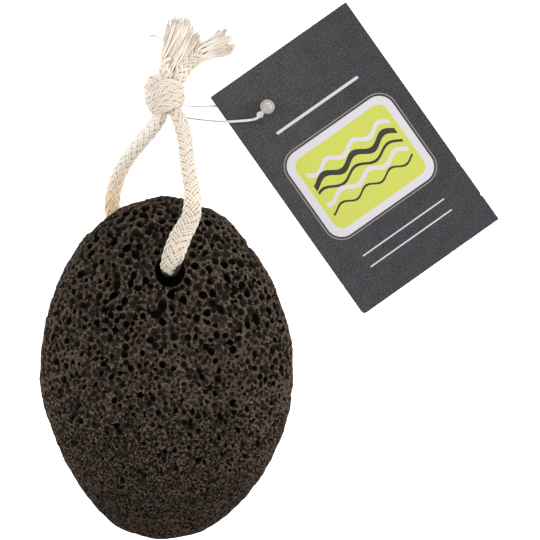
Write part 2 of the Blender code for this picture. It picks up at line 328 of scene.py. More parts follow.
def cut_tubes(points, quads, caps, shape, stop, sides):
    """Ends each tube of a batch at its own ring. Returns the mesh arrays, which quads
    were kept and which of the old points are still there."""
    m, n = shape
    keep = (np.arange(n - 1)[None, :, None] < stop[:, None, None]) & np.ones(sides, bool)
    quads = quads[keep.ravel()]
    heads = caps[:m * sides]
    last = m * n * sides + m + np.arange(m)
    points = points.copy()
    ring = ((np.arange(m) * n + stop) * sides)[:, None] + np.arange(sides)[None, :]
    points[last] = points[ring].mean(axis=1)
    tails = np.stack([np.broadcast_to(last[:, None], (m, sides)), ring, np.roll(ring, -1, axis=1)], axis=-1)
    caps = np.concatenate([heads, tails.reshape(-1, 3)])
    used = np.unique(np.concatenate([quads.ravel(), caps.ravel()]))
    lookup = np.zeros(len(points), np.int64)
    lookup[used] = np.arange(len(used))
    return points[used], lookup[quads], lookup[caps], keep.ravel(), used


def tube_uv(mesh, m, n, sides, length, keep=None):
    """UVs of a tube batch: along in millimetres, round from 0 to 1, with a seam."""
    layer = mesh.uv_layers.new(name="yarn")
    uv = np.zeros((len(mesh.loops), 2), np.float32)
    u = length[:, :, None] * np.ones(sides)
    v = np.arange(sides + 1) / sides
    corner = np.zeros((m, n - 1, sides, 4, 2), np.float32)
    corner[..., 0, 0] = u[:, :-1]
    corner[..., 1, 0] = u[:, :-1]
    corner[..., 2, 0] = u[:, 1:]
    corner[..., 3, 0] = u[:, 1:]
    corner[..., 0, 1] = v[:-1]
    corner[..., 1, 1] = v[1:]
    corner[..., 2, 1] = v[1:]
    corner[..., 3, 1] = v[:-1]
    flat = corner.reshape(-1, 4, 2)
    flat = (flat if keep is None else flat[keep]).reshape(-1, 2)
    uv[:len(flat)] = flat
    layer.data.foreach_set("uv", uv.ravel())


# ------------------------------------------------------------------ the stone's form
STONE_RADII = (37.4, 37.6, 38.8, 41.4, 44.6, 49.0, 50.7, 49.3, 46.0, 42.2, 39.4, 37.6,
               37.2, 37.7, 38.7, 41.2, 45.2, 49.3, 50.7, 48.4, 44.9, 41.5, 39.5, 38.2)
RIM_Z, TOP_RISE, BELLY_DROP = 17.5, 18.5, 18.3
CROWN_ROUND, BELLY_ROUND = 2.2, 1.95
HOLE_X, HOLE_Y, HOLE_RADIUS = 1.4, 28.3, 4.3
HOLE_TOP_Z, HOLE_TILT = 34.0, math.radians(15.0)    # drilled a little off square


def plan_radius(angle):
    radii = np.array(STONE_RADII)
    n = len(radii)
    t = (angle / TAU % 1.0) * n
    i = np.floor(t).astype(int)
    t = t - i
    r0, r1, r2, r3 = (radii[(i + k) % n] for k in (-1, 0, 1, 2))
    return 0.5 * (2 * r1 + (r2 - r0) * t + (2 * r0 - 5 * r1 + 4 * r2 - r3) * t * t
                  + (3 * r1 - r0 - 3 * r2 + r3) * t ** 3)


def swell(x, y):
    return 0.5 * (np.sin(x / 11.0 + 0.7) * np.sin(y / 14.0 + 0.4)
                  + 0.5 * np.sin(x / 6.5 + y / 8.0 + 2.0))


def stone_top(x, y):
    reach = np.minimum(np.hypot(x, y) / plan_radius(np.arctan2(y, x)), 1.0)
    return RIM_Z + (TOP_RISE + swell(x, y)) * (1 - reach ** CROWN_ROUND) ** (1 / CROWN_ROUND)


def stone_normal(x, y, e=0.3):
    gx = (stone_top(x + e, y) - stone_top(x - e, y)) / (2 * e)
    gy = (stone_top(x, y + e) - stone_top(x, y - e)) / (2 * e)
    return unit(np.array([-gx, -gy, 1.0]))


def over_stone(x, y, off=2.75):
    foot = np.array([x, y, float(stone_top(np.float64(x), np.float64(y)))])
    return foot + stone_normal(x, y) * off


# ------------------------------------------------------------------ cord
# One length of hollow cotton braid: 8 carriers each way, 2 yarns on each, over two, under two.
CORD_RADIUS = 2.45
CARRIERS = 8
BRAID_PITCH = 20.0
YARN_HALF = 0.335           # half width of a yarn
LAYER_RADIUS = 1.98         # middle of the yarn layer
CROSSING_RISE = 0.19        # how far a yarn rises and dips at the crossings
KNOT = np.array([-1.1, 81.3, 5.6])

# Each row: place, flattening normal, half width, half thickness, braid pitch.
ROUND = (2.45, 2.35)
mouth = float(stone_top(np.float64(HOLE_X), np.float64(32.6)))


def row(p, n, size=ROUND, pitch=23.0):
    return [*map(float, p), *unit(np.array(n, float)), float(size[0]), float(size[1]), float(pitch)]


def in_knot(p, n, size, pitch=30.0):
    return row(KNOT + np.array(p, float), n, size, pitch)


FLAT_ON_STONE = (3.02, 1.75)
front_row = [
    row((1.4, 32.0, 17.2), (0, -1, 0), (2.3, 2.2)),
    row((1.4, 29.9, mouth - 8.0), (0, -1, 0), (2.3, 2.2), 20.0),
    row((1.4, 28.75, mouth - 4.4), (0, -1, 0), (2.5, 2.1), 20.0),
    row((1.4, 29.3, mouth - 0.9), (0.1, -1, 0.3), (2.95, 1.9), 19.0),
    row((1.8, 31.0, mouth + 1.7), (-0.1, -0.7, 0.8), (3.3, 1.65), 18.5),
    row((2.75, 33.9, mouth + 2.75), (0, -0.15, 1), (3.4, 1.6), 18.5),
    row(over_stone(4.5, 38.0, 2.2), stone_normal(4.5, 38.0), (3.35, 1.65), 19.0),
    row(over_stone(6.9, 42.8, 2.4), stone_normal(6.9, 42.8), (3.0, 1.85), 21.0),
    row((7.9, 49.3, 26.9), (0, 0.75, 0.7), (2.7, 2.15)),
    row((7.5, 53.4, 23.6), (0, 0.7, 0.7), (2.5, 2.3)),
    row((6.5, 57.7, 19.6), (0, 0.7, 0.7)),
    row((5.8, 62.6, 15.3), (0, 0.7, 0.7)),
    row((5.0, 68.4, 10.8), (0, 0.6, 0.8)),
    row((3.9, 72.6, 8.3), (0, 0.4, 0.9)),
]
back_row = [
    row((1.4, 32.2, 16.8), (0, 1, 0), (2.3, 2.2)),
    row((1.4, 33.8, 12.6), (0, 1, 0), (2.3, 2.2)),
    row((1.0, 35.1, 8.4), (0, 1, 0), (2.4, 2.2)),
    row((-0.6, 36.0, 5.0), (0, 0.7, 0.7), (2.4, 2.2)),
    row((-3.2, 36.7, 3.0), (0, 0, 1), (2.5, 2.2)),
    row((-6.5, 37.6, 2.45), (0, 0, 1)),
    row((-11.2, 39.0, 2.45), (0, 0, 1)),
    row((-15.0, 41.9, 2.45), (0, 0, 1)),
    row((-16.9, 46.3, 2.45), (0, 0, 1)),
    row((-16.8, 50.8, 2.45), (0, 0, 1)),
    row((-15.3, 56.6, 2.45), (0, 0, 1)),
    row((-12.6, 62.0, 2.48), (0, 0, 1)),
    row((-9.2, 66.4, 2.65), (0, 0, 1)),
    row((-5.6, 70.6, 3.2), (0, 0, 1)),
    row((-3.4, 73.6, 4.1), (0, 0, 1)),
]
CORE = (1.85, 1.45)
BAND = (2.35, 1.5)
LOBE = (2.3, 1.75)
BACK = (1.9, 1.5)
# The left strand makes the upper band across the front of the knot and ends in the upright tail.
knot_left = [
    in_knot((-1.0, -5.3, -0.3), (0, 0, 1), (2.2, 1.9)),
    in_knot((-1.2, -3.2, 0.9), (0, 0, 1), CORE),
    in_knot((-1.6, -0.6, 1.3), (0, 0, 1), CORE),
    in_knot((-2.7, 1.4, 1.5), (-0.3, 0.2, 1), (2.1, 1.6)),
    in_knot((-4.0, 2.3, 0.9), (-0.7, 0.3, 0.7), LOBE),
    in_knot((-4.6, 2.2, -1.1), (-1, 0.2, -0.3), LOBE),
    in_knot((-4.4, 0.8, -2.9), (-0.7, 0, -0.8), BACK),
    in_knot((-4.4, -1.1, -2.3), (-0.8, -0.2, -0.7), BACK),
    in_knot((-4.5, -2.0, -0.3), (-1, -0.4, 0), BAND),
    in_knot((-4.0, -1.6, 1.9), (-0.8, -0.3, 0.7), BAND),
    in_knot((-2.6, 0.0, 3.4), (-0.45, 0.1, 1), BAND),
    in_knot((-0.8, 1.8, 3.9), (-0.1, 0.3, 1), BAND),
    in_knot((1.6, 2.5, 3.5), (0.2, 0.35, 1), BAND),
    in_knot((3.6, 2.2, 2.1), (0.6, 0.3, 0.8), BAND),
    in_knot((4.6, 1.6, 0.0), (1, 0.25, 0), BAND),
    in_knot((3.8, 1.2, -2.4), (0.6, 0.1, -0.8), BACK),
    in_knot((1.8, 0.0, -3.7), (0.2, 0, -1), BACK),
    in_knot((0.2, -2.2, -3.6), (0, -0.2, -1), BACK),
    in_knot((-0.4, -4.0, -2.5), (0, -1, -0.4), BACK),
    in_knot((-0.5, -3.0, -1.1), (0, -0.5, 0.8), CORE),
    in_knot((-0.3, -0.8, -1.2), (0, 0, 1), CORE),
    in_knot((0.1, 1.8, -0.9), (0, 0, 1), CORE),
    in_knot((0.2, 4.4, 0.2), (0, 0, 1), (2.3, 2.0)),
]
knot_right = [
    in_knot((3.2, -5.3, 1.2), (0, 0.2, 1), (2.2, 1.9)),
    in_knot((2.1, -3.0, 1.4), (0, 0, 1), CORE),
    in_knot((1.3, -0.4, 1.4), (0, 0, 1), CORE),
    in_knot((0.2, 2.0, 1.4), (0, 0, 1), CORE),
    in_knot((-1.5, 3.8, 1.5), (-0.3, 0.6, 0.8), (2.1, 1.6)),
    in_knot((-3.2, 4.5, 0.3), (-0.6, 1, 0.1), LOBE),
    in_knot((-3.4, 3.7, -2.0), (-0.5, 0.7, -0.7), LOBE),
    in_knot((-2.4, 1.9, -3.6), (0, 0.2, -1), BACK),
    in_knot((-2.2, -0.6, -3.8), (0, 0, -1), BACK),
    in_knot((-2.9, -3.0, -3.0), (-0.3, -0.4, -0.9), BACK),
    in_knot((-3.2, -4.0, -1.0), (-0.7, -0.8, -0.2), LOBE),
    in_knot((-3.1, -4.1, 1.2), (-0.6, -0.8, 0.5), BAND),
    in_knot((-1.9, -3.6, 3.1), (-0.2, -0.4, 1), (2.5, 1.5)),
    in_knot((0.6, -2.6, 3.9), (0, -0.2, 1), (2.6, 1.5)),
    in_knot((3.2, -1.6, 3.0), (0.4, -0.1, 0.9), (2.5, 1.5)),
    in_knot((4.6, -1.1, 0.9), (1, -0.1, 0.2), BAND),
    in_knot((4.6, -1.3, -1.4), (0.9, -0.2, -0.5), BACK),
    in_knot((3.7, -2.6, -3.1), (0.4, -0.4, -0.9), BACK),
    in_knot((2.9, -4.1, -2.8), (0.1, -1, -0.6), BACK),
    in_knot((2.6, -4.0, -1.4), (0, -0.8, 0.5), CORE),
    in_knot((2.6, -2.4, -1.1), (0, 0, 1), CORE),
    in_knot((2.7, 0.2, -1.2), (0, 0, 1), CORE),
    in_knot((3.0, 2.8, -0.8), (0, 0, 1), CORE),
    in_knot((3.7, 4.8, 0.0), (0, 0, 1), (2.3, 2.0)),
]
tail_up = [
    row((-0.5, 88.3, 5.4), (0, 0, 1), (2.5, 2.2), 20.0),
    row((-0.2, 91.0, 4.5), (0, 0, 1), (2.6, 2.1), 20.0),
    row((0.35, 93.2, 4.0), (0, 0, 1), (2.75, 2.0), 20.0),
]
tail_side = [
    row((4.1, 88.0, 5.2), (0, 0, 1), (2.4, 2.1), 18.0),
    row((5.8, 90.6, 4.6), (0, 0, 1), (2.45, 2.1), 17.0),
    row((8.3, 92.9, 3.9), (0, 0, 1), (2.5, 2.1), 17.0),
    row((10.7, 94.6, 3.4), (0, 0, 1), (2.6, 2.0), 18.0),
]


def braid(name, rows, seed, loose=None, seam=0.4, leave=(0.0, 0.0), toward=(1.0, 0.0, 0.0)):
    """A braided tube along the rows. Yarns leave it near its end: a share of them, those
    that lie and head toward one side, up to leave[1] earlier. Returns the object, its
    centreline and, for the fray, where each yarn ends and which way it points."""
    rng = np.random.default_rng(seed)
    line = spline(rows, 0.55)
    centre, guide = line[:, :3], line[:, 3:6]
    wide, thick, pitch = line[:, 6], line[:, 7], line[:, 8]
    n = len(centre)
    s = np.concatenate([[0], np.cumsum(np.linalg.norm(np.diff(centre, axis=0), axis=1))])
    tangent, normal = carried_frame(centre)
    binormal = np.cross(tangent, normal)
    flat_n = unit(guide - tangent * np.sum(guide * tangent, axis=1, keepdims=True))
    flat_w = np.cross(tangent, flat_n)
    turn = np.unwrap(np.arctan2(np.sum(flat_w * binormal, axis=1), np.sum(flat_w * normal, axis=1)))
    slack = np.zeros(n) if loose is None else loose(s, s[-1])
    tied = smooth(8.5, 6.5, np.linalg.norm(centre - KNOT, axis=1))
    gape = 0.34 - 0.22 * tied

    turns = np.concatenate([[0], np.cumsum(np.diff(s) / (0.5 * (pitch[1:] + pitch[:-1])))])
    q = 2.0 * CARRIERS * turns
    paths, outs, halves, deeps, tones, sinks = [], [], [], [], [], []
    for way in (1, -1):
        for k in range(CARRIERS):
            if way == 1:
                rise = np.cos(math.pi / 2 * (q + 2 * k - 0.5))
            else:
                rise = -np.cos(math.pi / 2 * (2 * k - q - 0.5))
            pair_lift = rng.normal(0, 0.03)
            wander = rng.uniform(0, TAU, 4)
            for y in range(2):
                shift = (y - 0.5) * 0.305
                slow = 0.035 * np.sin(s / 3.1 + wander[0] + y) + 0.03 * np.sin(s / 1.3 + wander[1] + 2 * y)
                angle = TAU * k / CARRIERS + way * TAU * turns + shift + slow
                # the tube has a looser side, where the yarns stand further apart, less so in the knot
                angle = angle + gape * np.sin(angle - turn - seam)
                own = rng.uniform(-0.02, 0.02) + 0.03 * np.sin(s / 1.7 + wander[2] + 3 * y)
                radius = (LAYER_RADIUS + CROSSING_RISE * rise * (1 + 0.5 * slack) + pair_lift + own
                          + slack * 0.22 * np.maximum(0, np.sin(s / 2.2 + wander[3])))
                psi = angle - turn
                c, t = np.cos(psi)[:, None], np.sin(psi)[:, None]
                sa, sb = (wide / CORD_RADIUS)[:, None], (thick / CORD_RADIUS)[:, None]
                place = centre + radius[:, None] * (sa * c * flat_w + sb * t * flat_n)
                paths.append(place)
                outs.append(unit(c / sa * flat_w + t / sb * flat_n))
                squeeze = np.sqrt(wide * thick) / CORD_RADIUS
                half = YARN_HALF * (0.35 + 0.65 * squeeze) * (1 + 0.05 * np.sin(s / 2.3 + wander[1]))
                halves.append(half * 1.02)
                deeps.append(half * 0.80)
                tones.append(np.full(n, rng.uniform(0, 1)))
                # painted shade: 1 where a yarn dips under the crossing yarns, which the material colours darker tan
                sinks.append(0.5 - 0.5 * rise)
    paths, outs = np.array(paths), np.array(outs)
    halves, deeps = np.array(halves), np.array(deeps)
    m = len(paths)
    along = np.concatenate([np.zeros((m, 1)), np.cumsum(np.linalg.norm(np.diff(paths, axis=1), axis=2), axis=1)], axis=1)
    heading = unit(np.gradient(paths, axis=1))
    toward = unit(np.array(toward, float))
    stop = n - 1 - rng.integers(0, 5, m)
    ring = n - 1 - int(leave[1] / 0.55)
    lean = (paths[:, ring] - centre[ring]) @ toward + 1.6 * heading[:, ring] @ toward
    soonest = np.argsort(-lean)[:int(round(m * leave[0]))]
    stop[soonest] = ring + rng.integers(0, max(int(leave[1] / 0.55 * 0.6), 1), len(soonest))
    early = np.zeros(m)
    early[soonest] = 1.0
    sides = 6
    points, quads, caps = tube_batch(paths, outs, halves, deeps, sides)
    points, quads, caps, kept, used = cut_tubes(points, quads, caps, (m, n), stop, sides)
    # the loose filling inside the braid; its darker tan colour is painted shade seen in the gaps between yarns
    filled = n - 3
    core_points, core_quads, core_caps = tube_batch(
        centre[None, :filled], flat_n[None, :filled], (wide * 0.70)[None, :filled], (thick * 0.70)[None, :filled], 10)
    base = len(points)
    all_points = np.vstack([points, core_points])
    # the yarns' quads come first, so that their UVs can be laid out in order
    mesh = build_mesh(name, all_points, np.vstack([quads, core_quads + base]),
                      np.vstack([caps, core_caps + base]))
    tube_uv(mesh, m, n, sides, along, kept)
    i = np.arange(m)
    # painted shade: the cotton goes near black where it runs down into the bore
    inner = np.hypot(paths[..., 0] - HOLE_X, paths[..., 1] - HOLE_Y - (HOLE_TOP_Z - paths[..., 2]) * math.tan(HOLE_TILT))
    bore_shade = np.maximum(smooth(mouth + 0.1, mouth - 2.4, paths[..., 2]),
                      smooth(27.75, 26.85, paths[..., 1] - np.where(paths[..., 0] < 1.3, 0.72, 1.15) * np.abs(paths[..., 0] - 1.3)
                             + 0.6 * (np.array(tones) - 0.5)))
    bore_shade = bore_shade * smooth(5.5, 9.0, paths[..., 2]) * smooth(5.6, 4.6, inner)
    for name_of, values, filling in (("tone", np.array(tones), -1.0), ("sink", np.array(sinks), 1.0), ("bore_shade", bore_shade, 0.0)):
        every = np.concatenate([np.repeat(values.ravel(), sides), values[:, 0], values[i, stop]])[used]
        vertex_values(mesh, name_of, np.concatenate([every, np.full(len(core_points), filling)]))
    obj = link(name, mesh)
    ends = (paths[i, stop], heading[i, stop], outs[i, stop], early, np.array(tones)[:, 0])
    return obj, centre, ends


def cotton(name, core=(0.78, 0.53, 0.29), lift=0.0, soft=0.40, spread=0.0004):
    net = Net(name)
    at = net.place()
    uv = net.uv("yarn")
    u, v, _ = net.xyz(uv)
    tone = net.attribute("tone")
    # plies: fine lines that turn round the yarn
    ply = net.math("SINE", net.math("MULTIPLY", net.math("ADD", net.math("MULTIPLY", u, 1.35), net.math("MULTIPLY", v, 3.0)), TAU))
    fibre = net.noise(net.vec(net.math("MULTIPLY", u, 0.9), net.math("MULTIPLY", v, 7.0), tone), 3.0, 3.0, 0.6)
    patch = net.noise(at, 0.35, 3.0, 0.55)
    light, dark = (0.900, 0.822, 0.740), (0.862, 0.765, 0.655)
    colour = net.mix(net.math("ADD", net.math("MULTIPLY", tone, 0.45), net.math("MULTIPLY", patch, 0.35), clamp=True), light, dark)
    colour = net.mix(net.step(fibre, 0.42, 0.75), colour, (0.84, 0.735, 0.615))
    # painted shade: darker tan where the yarns dip under the crossings
    colour = net.mix(net.math("MULTIPLY", net.step(net.attribute("sink"), 0.35, 0.95), 0.75), colour, (0.81, 0.60, 0.38))
    # painted warm shade: browner where the left strand lies beside the stone
    x, y, _ = net.xyz(at)
    stone_side_shade = net.math("MULTIPLY", net.step(y, 66.0, 46.0), net.step(x, -7.0, -12.0))
    colour = net.mix(net.math("MULTIPLY", stone_side_shade, 0.85), colour, (0.86, 0.63, 0.40))
    # painted shade: the filling seen through the gaps is a darker tan
    colour = net.mix(net.math("LESS_THAN", tone, -0.5), colour, core)
    # painted light: the left strand is lightened towards the knot, less where it lies beside the stone
    low = net.math("MULTIPLY", net.math("MULTIPLY", net.step(x, -1.5, -4.5), net.step(y, 77.0, 73.0)),
                   net.math("SUBTRACT", 0.60, net.math("MULTIPLY", stone_side_shade, 0.54)))
    colour = net.mix(low, colour, (0.975, 0.905, 0.825))
    # a little grey where it lies on the stone, a touch duller in the knot
    colour = net.mix(net.math("MULTIPLY", net.step(y, 51.0, 44.0), net.step(x, -4.0, -1.0)), colour, (0.800, 0.805, 0.800), "MULTIPLY")
    colour = net.mix(net.math("MULTIPLY", net.step(y, 73.0, 77.0), net.step(y, 90.0, 86.0)), colour, (0.910, 0.908, 0.920), "MULTIPLY")
    if not lift:
        colour = net.mix(1.0, colour, (0.965, 0.982, 0.985), "MULTIPLY")
        # the side tail is duller, and so is the near strand a little
        colour = net.mix(net.math("MULTIPLY", net.step(x, 4.0, 7.0), net.step(y, 87.0, 90.0)), colour, (0.870, 0.840, 0.835), "MULTIPLY")
        colour = net.mix(net.math("MULTIPLY", net.step(x, 0.0, 2.0), net.math("MULTIPLY", net.step(y, 50.0, 54.0), net.step(y, 78.0, 75.0))),
                         colour, (0.955, 0.945, 0.955), "MULTIPLY")
    if lift:
        # combed-out fibre: paler, with painted warm tan shade in lines between the fibres
        painted_gap_shade = net.step(net.noise(net.vec(net.math("MULTIPLY", u, 0.25), net.math("MULTIPLY", v, 3.0), tone), 2.0, 2.0, 0.5), 0.50, 0.66)
        colour = net.mix(lift, colour, net.mix(net.math("MULTIPLY", painted_gap_shade, 0.6), (0.958, 0.885, 0.800), (0.930, 0.815, 0.680)))
        # painted shade: a warmer tan on the yarns' sides and undersides
        colour = net.mix(net.math("MULTIPLY", net.attribute("flank"), 0.75), colour, (0.965, 0.825, 0.660))
        # painted shade: tips and strays that stand alone in the light are darker
        colour = net.mix(net.attribute("alone"), colour, (0.865, 0.785, 0.690))
        colour = net.mix(net.step(x, 12.5, 15.5), colour, (0.920, 0.905, 0.895), "MULTIPLY")
    # painted shade: near black where the cord runs down into the bore
    colour = net.mix(net.math("MULTIPLY", net.attribute("bore_shade"), 0.97), colour, (0.012, 0.010, 0.008))
    height = net.math("ADD", net.math("MULTIPLY", ply, 0.5), net.math("MULTIPLY", fibre, 0.7))
    net.set(color=colour, rough=0.95, spec=0.08, sheen=0.05, sheen_rough=0.6,
            sss=soft, sss_scale=spread, normal=net.bump(height, 0.09, 0.85))
    net.bsdf.inputs["Subsurface Radius"].default_value = (1.0, 0.75, 0.5)
    return net.mat


def loosened(start, stop, amount):
    return lambda s, total: amount * smooth(total - start, total - stop, s)


right_strand, right_line, right_ends = braid(
    "cord_right", front_row + knot_right + tail_side, 11, loosened(24.0, 17.0, 1.0),
    seam=2.2, leave=(0.12, 2.4), toward=(0.5, -0.85, 0.2))
left_strand, left_line, left_ends = braid(
    "cord_left", back_row + knot_left + tail_up, 12, loosened(16.0, 10.0, 0.5),
    leave=(0.34, 6.2), toward=(1.0, 0.1, 0.0))
cotton_mat = cotton("Cotton_braid", soft=0.10, spread=0.0002)
combed_mat = cotton("Cotton_combed", lift=0.85, soft=0.0)
for obj in (right_strand, left_strand):
    obj.data.materials.append(cotton_mat)


def plan(px, py, z):
    """The place at height z that the camera sees at a pixel."""
    k = (900.0 - z) / 900.0 / 3.317
    return np.array([30.46 + (px - 270.0) * k, 28.84 - (py - 270.0) * k, z])


PLIES = 8
PLY_HALF = 0.128


def fray(name, ends, tips, seed, height=4.2, bulge=1.0, extra=None, wisps=26):
    """The unbraided yarns beyond a braid's end, fanned to an edge of tips (pixels).
    Each yarn opens into its plies on the way, and a few fine fibres stand off."""
    rng = np.random.default_rng(seed)
    starts, heading, outs, early, tones = ends
    axis = unit(heading.mean(axis=0))
    tips = np.array(tips, float)
    d = np.concatenate([[0], np.cumsum(np.linalg.norm(np.diff(tips, axis=0), axis=1))])
    first, last = plan(*tips[0], 3.0), plan(*tips[-1], 3.0)
    spread = unit(last - first)
    # each yarn goes to the tip nearest to its side, so that few cross
    key = (starts - starts.mean(axis=0)) @ spread + 0.8 * heading @ spread + rng.normal(0, 0.35, len(starts)) + early * 1.5
    order = np.argsort(np.argsort(key))
    share = (order + 0.5) / len(order) + rng.normal(0, 0.015, len(order))
    share = np.clip(share, 0.0, 1.0)
    n = 24
    t = np.linspace(0, 1, n)[:, None]
    paths, halves, flats, tone_list, stray_list = [], [], [], [], []

    def add_plies(main, tone, start_off, end_off, thin=1.0, count=PLIES):
        way = unit(np.gradient(main, axis=0))
        side = unit(np.cross(way, np.array([0.0, 0.0, 1.0])))
        top = np.cross(side, way)
        run = np.concatenate([[0], np.cumsum(np.linalg.norm(np.diff(main, axis=0), axis=1))])
        phase = rng.uniform(0, TAU)
        for j in range(count):
            turn = phase + TAU * j / count + run / 3.0 * (1 - 0.6 * t[:, 0])
            open_up = smooth(0.0, 0.85, t[:, 0])
            away = rng.normal(0, 1, 2) * (0.62, 0.06)
            path = (main + ((start_off + 0.10 * open_up) * np.cos(turn) + away[0] * end_off * open_up ** 1.1)[:, None] * side
                    + (start_off * (1 - 0.6 * open_up) * np.sin(turn) + away[1] * end_off * 0.7 * open_up)[:, None] * top)
            # plies end at different lengths
            reach = 1.0 - rng.uniform(0.0, 1.0) ** 1.3 * 0.22
            where = np.linspace(0, (n - 1) * reach, n)
            path = np.stack([np.interp(where, np.arange(n), path[:, k]) for k in range(3)], axis=1)
            path[:, 2] = np.maximum(path[:, 2], 0.26)
            paths.append(path)
            fade = np.where(t[:, 0] > 0.84, 1 - 0.62 * ((t[:, 0] - 0.84) / 0.16), 1.0)
            halves.append(PLY_HALF * thin * rng.uniform(0.85, 1.15) * fade)
            flats.append(1.0 - 0.25 * open_up)
            tone_list.append(float(np.clip(tone + rng.normal(0, 0.12), 0, 1)) if tone < 2 else 1.0)
            stray_list.append(0.65 if tone >= 2 else 0.0)

    def toward_tip(p0, way, share, z, cut, lead, follow):
        """A curve from a place in the braid's end to the edge of tips."""
        px, py = np.interp(share * d[-1], d, tips[:, 0]), np.interp(share * d[-1], d, tips[:, 1])
        p1 = plan(px, py, z)
        reach = np.linalg.norm(p1 - p0)
        p1 = p1 - unit(p1 - p0) * cut
        h0 = unit(lead * way + (1 - lead) * unit(0.5 * axis + 0.5 * unit(p1 - p0))) * reach * 0.75
        h1 = unit(p1 - p0 + 0.25 * reach * (spread * (share - 0.5) * bulge)) * reach * 0.8 + follow
        return ((2 * t ** 3 - 3 * t ** 2 + 1) * p0 + (t ** 3 - 2 * t ** 2 + t) * h0
                + (-2 * t ** 3 + 3 * t ** 2) * p1 + (t ** 3 - t ** 2) * h1)

    for i, p0 in enumerate(starts):
        # most yarns lie in a smooth upper layer, the rest make a second layer beneath
        upper = p0[2] > np.quantile(starts[:, 2], 0.30)
        z = height - (0.0 if upper else 1.1) + rng.normal(0, 0.05) - 1.25 * (2 * share[i] - 1) ** 2
        cut = rng.uniform(0.0, 1.0) ** 2 * 1.9 - 1.25
        follow = rng.normal(0, 0.35, 3) * (1, 1, 0.2)
        curve = toward_tip(p0 - heading[i] * 0.25, heading[i], share[i], z, cut, 0.50 - 0.2 * early[i], follow)
        wave = rng.uniform(0, TAU, 2)
        across = np.cross(unit(curve[-1] - curve[0]), np.array([0.0, 0.0, 1.0]))
        curve = curve + 0.10 * np.sin(t * rng.uniform(5, 9) + wave[0]) * t * across \
            + 0.04 * np.sin(t * rng.uniform(4, 8) + wave[1]) * t * np.array([0.0, 0.0, 1.0])
        add_plies(curve, tones[i], 0.17, 0.8)
    if extra is not None:
        for anchors, thin in extra:
            c = spline(anchors, 0.4)
            where = np.linspace(0, len(c) - 1, n)
            c = np.stack([np.interp(where, np.arange(len(c)), c[:, k]) for k in range(3)], axis=1)
            add_plies(c, rng.uniform(0, 0.6) if thin == 1.0 else 3.0, 0.17 * thin if thin == 1.0 else 0.24, 0.55 if thin == 1.0 else 0.10,
                      1.0 if thin == 1.0 else 1.35, PLIES)
    for _ in range(wisps):
        base = paths[rng.integers(0, len(paths))]
        k = rng.integers(n // 3, n - 6)
        piece = base[k:]
        run = np.linspace(0, 1, n)
        c = np.stack([np.interp(run * (len(piece) - 1), np.arange(len(piece)), piece[:, q]) for q in range(3)], axis=1)
        stray_way = rng.normal(0, 0.8, 3) * (1, 1, 0.5) + axis * rng.uniform(0.2, 1.6)
        c = c + (run ** 2)[:, None] * stray_way
        c[:, 2] = np.maximum(c[:, 2], 0.2)
        paths.append(c)
        halves.append(0.075 * (1 - 0.5 * run))
        flats.append(np.ones(n))
        tone_list.append(0.2)
        stray_list.append(0.4)
    paths, halves, flats = np.array(paths), np.array(halves), np.array(flats)
    m = len(paths)
    out = np.broadcast_to(np.array([0.0, 0.0, 1.0]), paths.shape)
    points, quads, caps = tube_batch(paths, out, halves, halves * flats, 6)
    # the soft inside of the tuft: a closed flat body that the upper yarns lie on
    cols = 18
    middle, half_wide = starts.mean(axis=0), 0.40 * np.ptp(starts @ spread)
    sheet = []
    for c in range(cols):
        u = 0.035 + 0.93 * c / (cols - 1)
        rim = (2 * u - 1) ** 2
        p0 = middle + spread * (2 * u - 1) * half_wide - axis * 0.8 + np.array([0.0, 0.0, 1.0 * (1 - 0.8 * rim)])
        sheet.append(toward_tip(p0, axis, u, height - 0.12 - 1.25 * rim, 2.3 + 0.45 * math.sin(c * 2.4), 0.5, 0.0))
    sheet = np.array(sheet)
    thick = (1.9 - 1.35 * t)[None] * (1 - 0.75 * (np.abs(np.linspace(-1, 1, cols)) ** 3))[:, None, None]
    under = sheet - thick * np.array([0.0, 0.0, 1.0])
    under[..., 2] = np.maximum(under[..., 2], 0.15)
    base = len(points)
    body = np.vstack([sheet.reshape(-1, 3), under.reshape(-1, 3)])
    i, j = np.meshgrid(np.arange(cols - 1), np.arange(n - 1), indexing="ij")
    at = (i * n + j).ravel()
    low = at + cols * n
    body_quads = [np.stack([at, at + n, at + n + 1, at + 1], axis=1), np.stack([low, low + 1, low + n + 1, low + n], axis=1)]
    loop = np.concatenate([np.arange(n), np.arange(1, cols) * n + n - 1, (cols - 1) * n + np.arange(n - 2, -1, -1),
                           np.arange(cols - 2, 0, -1) * n])
    after = np.roll(loop, -1)
    body_quads.append(np.stack([loop, after, after + cols * n, loop + cols * n], axis=1))
    body_quads = np.vstack(body_quads)
    mesh = build_mesh(name, np.vstack([points, body]), np.vstack([quads, body_quads + base]), caps)
    length = np.concatenate([np.zeros((m, 1)), np.cumsum(np.linalg.norm(np.diff(paths, axis=1), axis=2), axis=1)], axis=1)
    tube_uv(mesh, m, n, 6, length)
    # fine lines along the body
    layer = mesh.uv_layers["yarn"]
    flat_uv = np.empty(len(mesh.loops) * 2, np.float32)
    layer.data.foreach_get("uv", flat_uv)
    corner = body_quads.ravel() % (cols * n)
    first_loop = len(quads) * 4
    flat_uv = flat_uv.reshape(-1, 2)
    flat_uv[first_loop:first_loop + len(corner), 0] = (corner % n) * 0.45
    flat_uv[first_loop:first_loop + len(corner), 1] = (corner // n) * 1.1
    layer.data.foreach_set("uv", flat_uv.ravel())
    tone_list = np.array(tone_list)
    vertex_values(mesh, "tone", np.concatenate([np.repeat(tone_list, n * 6), tone_list, tone_list,
                                                np.full(len(body), 0.35)]))
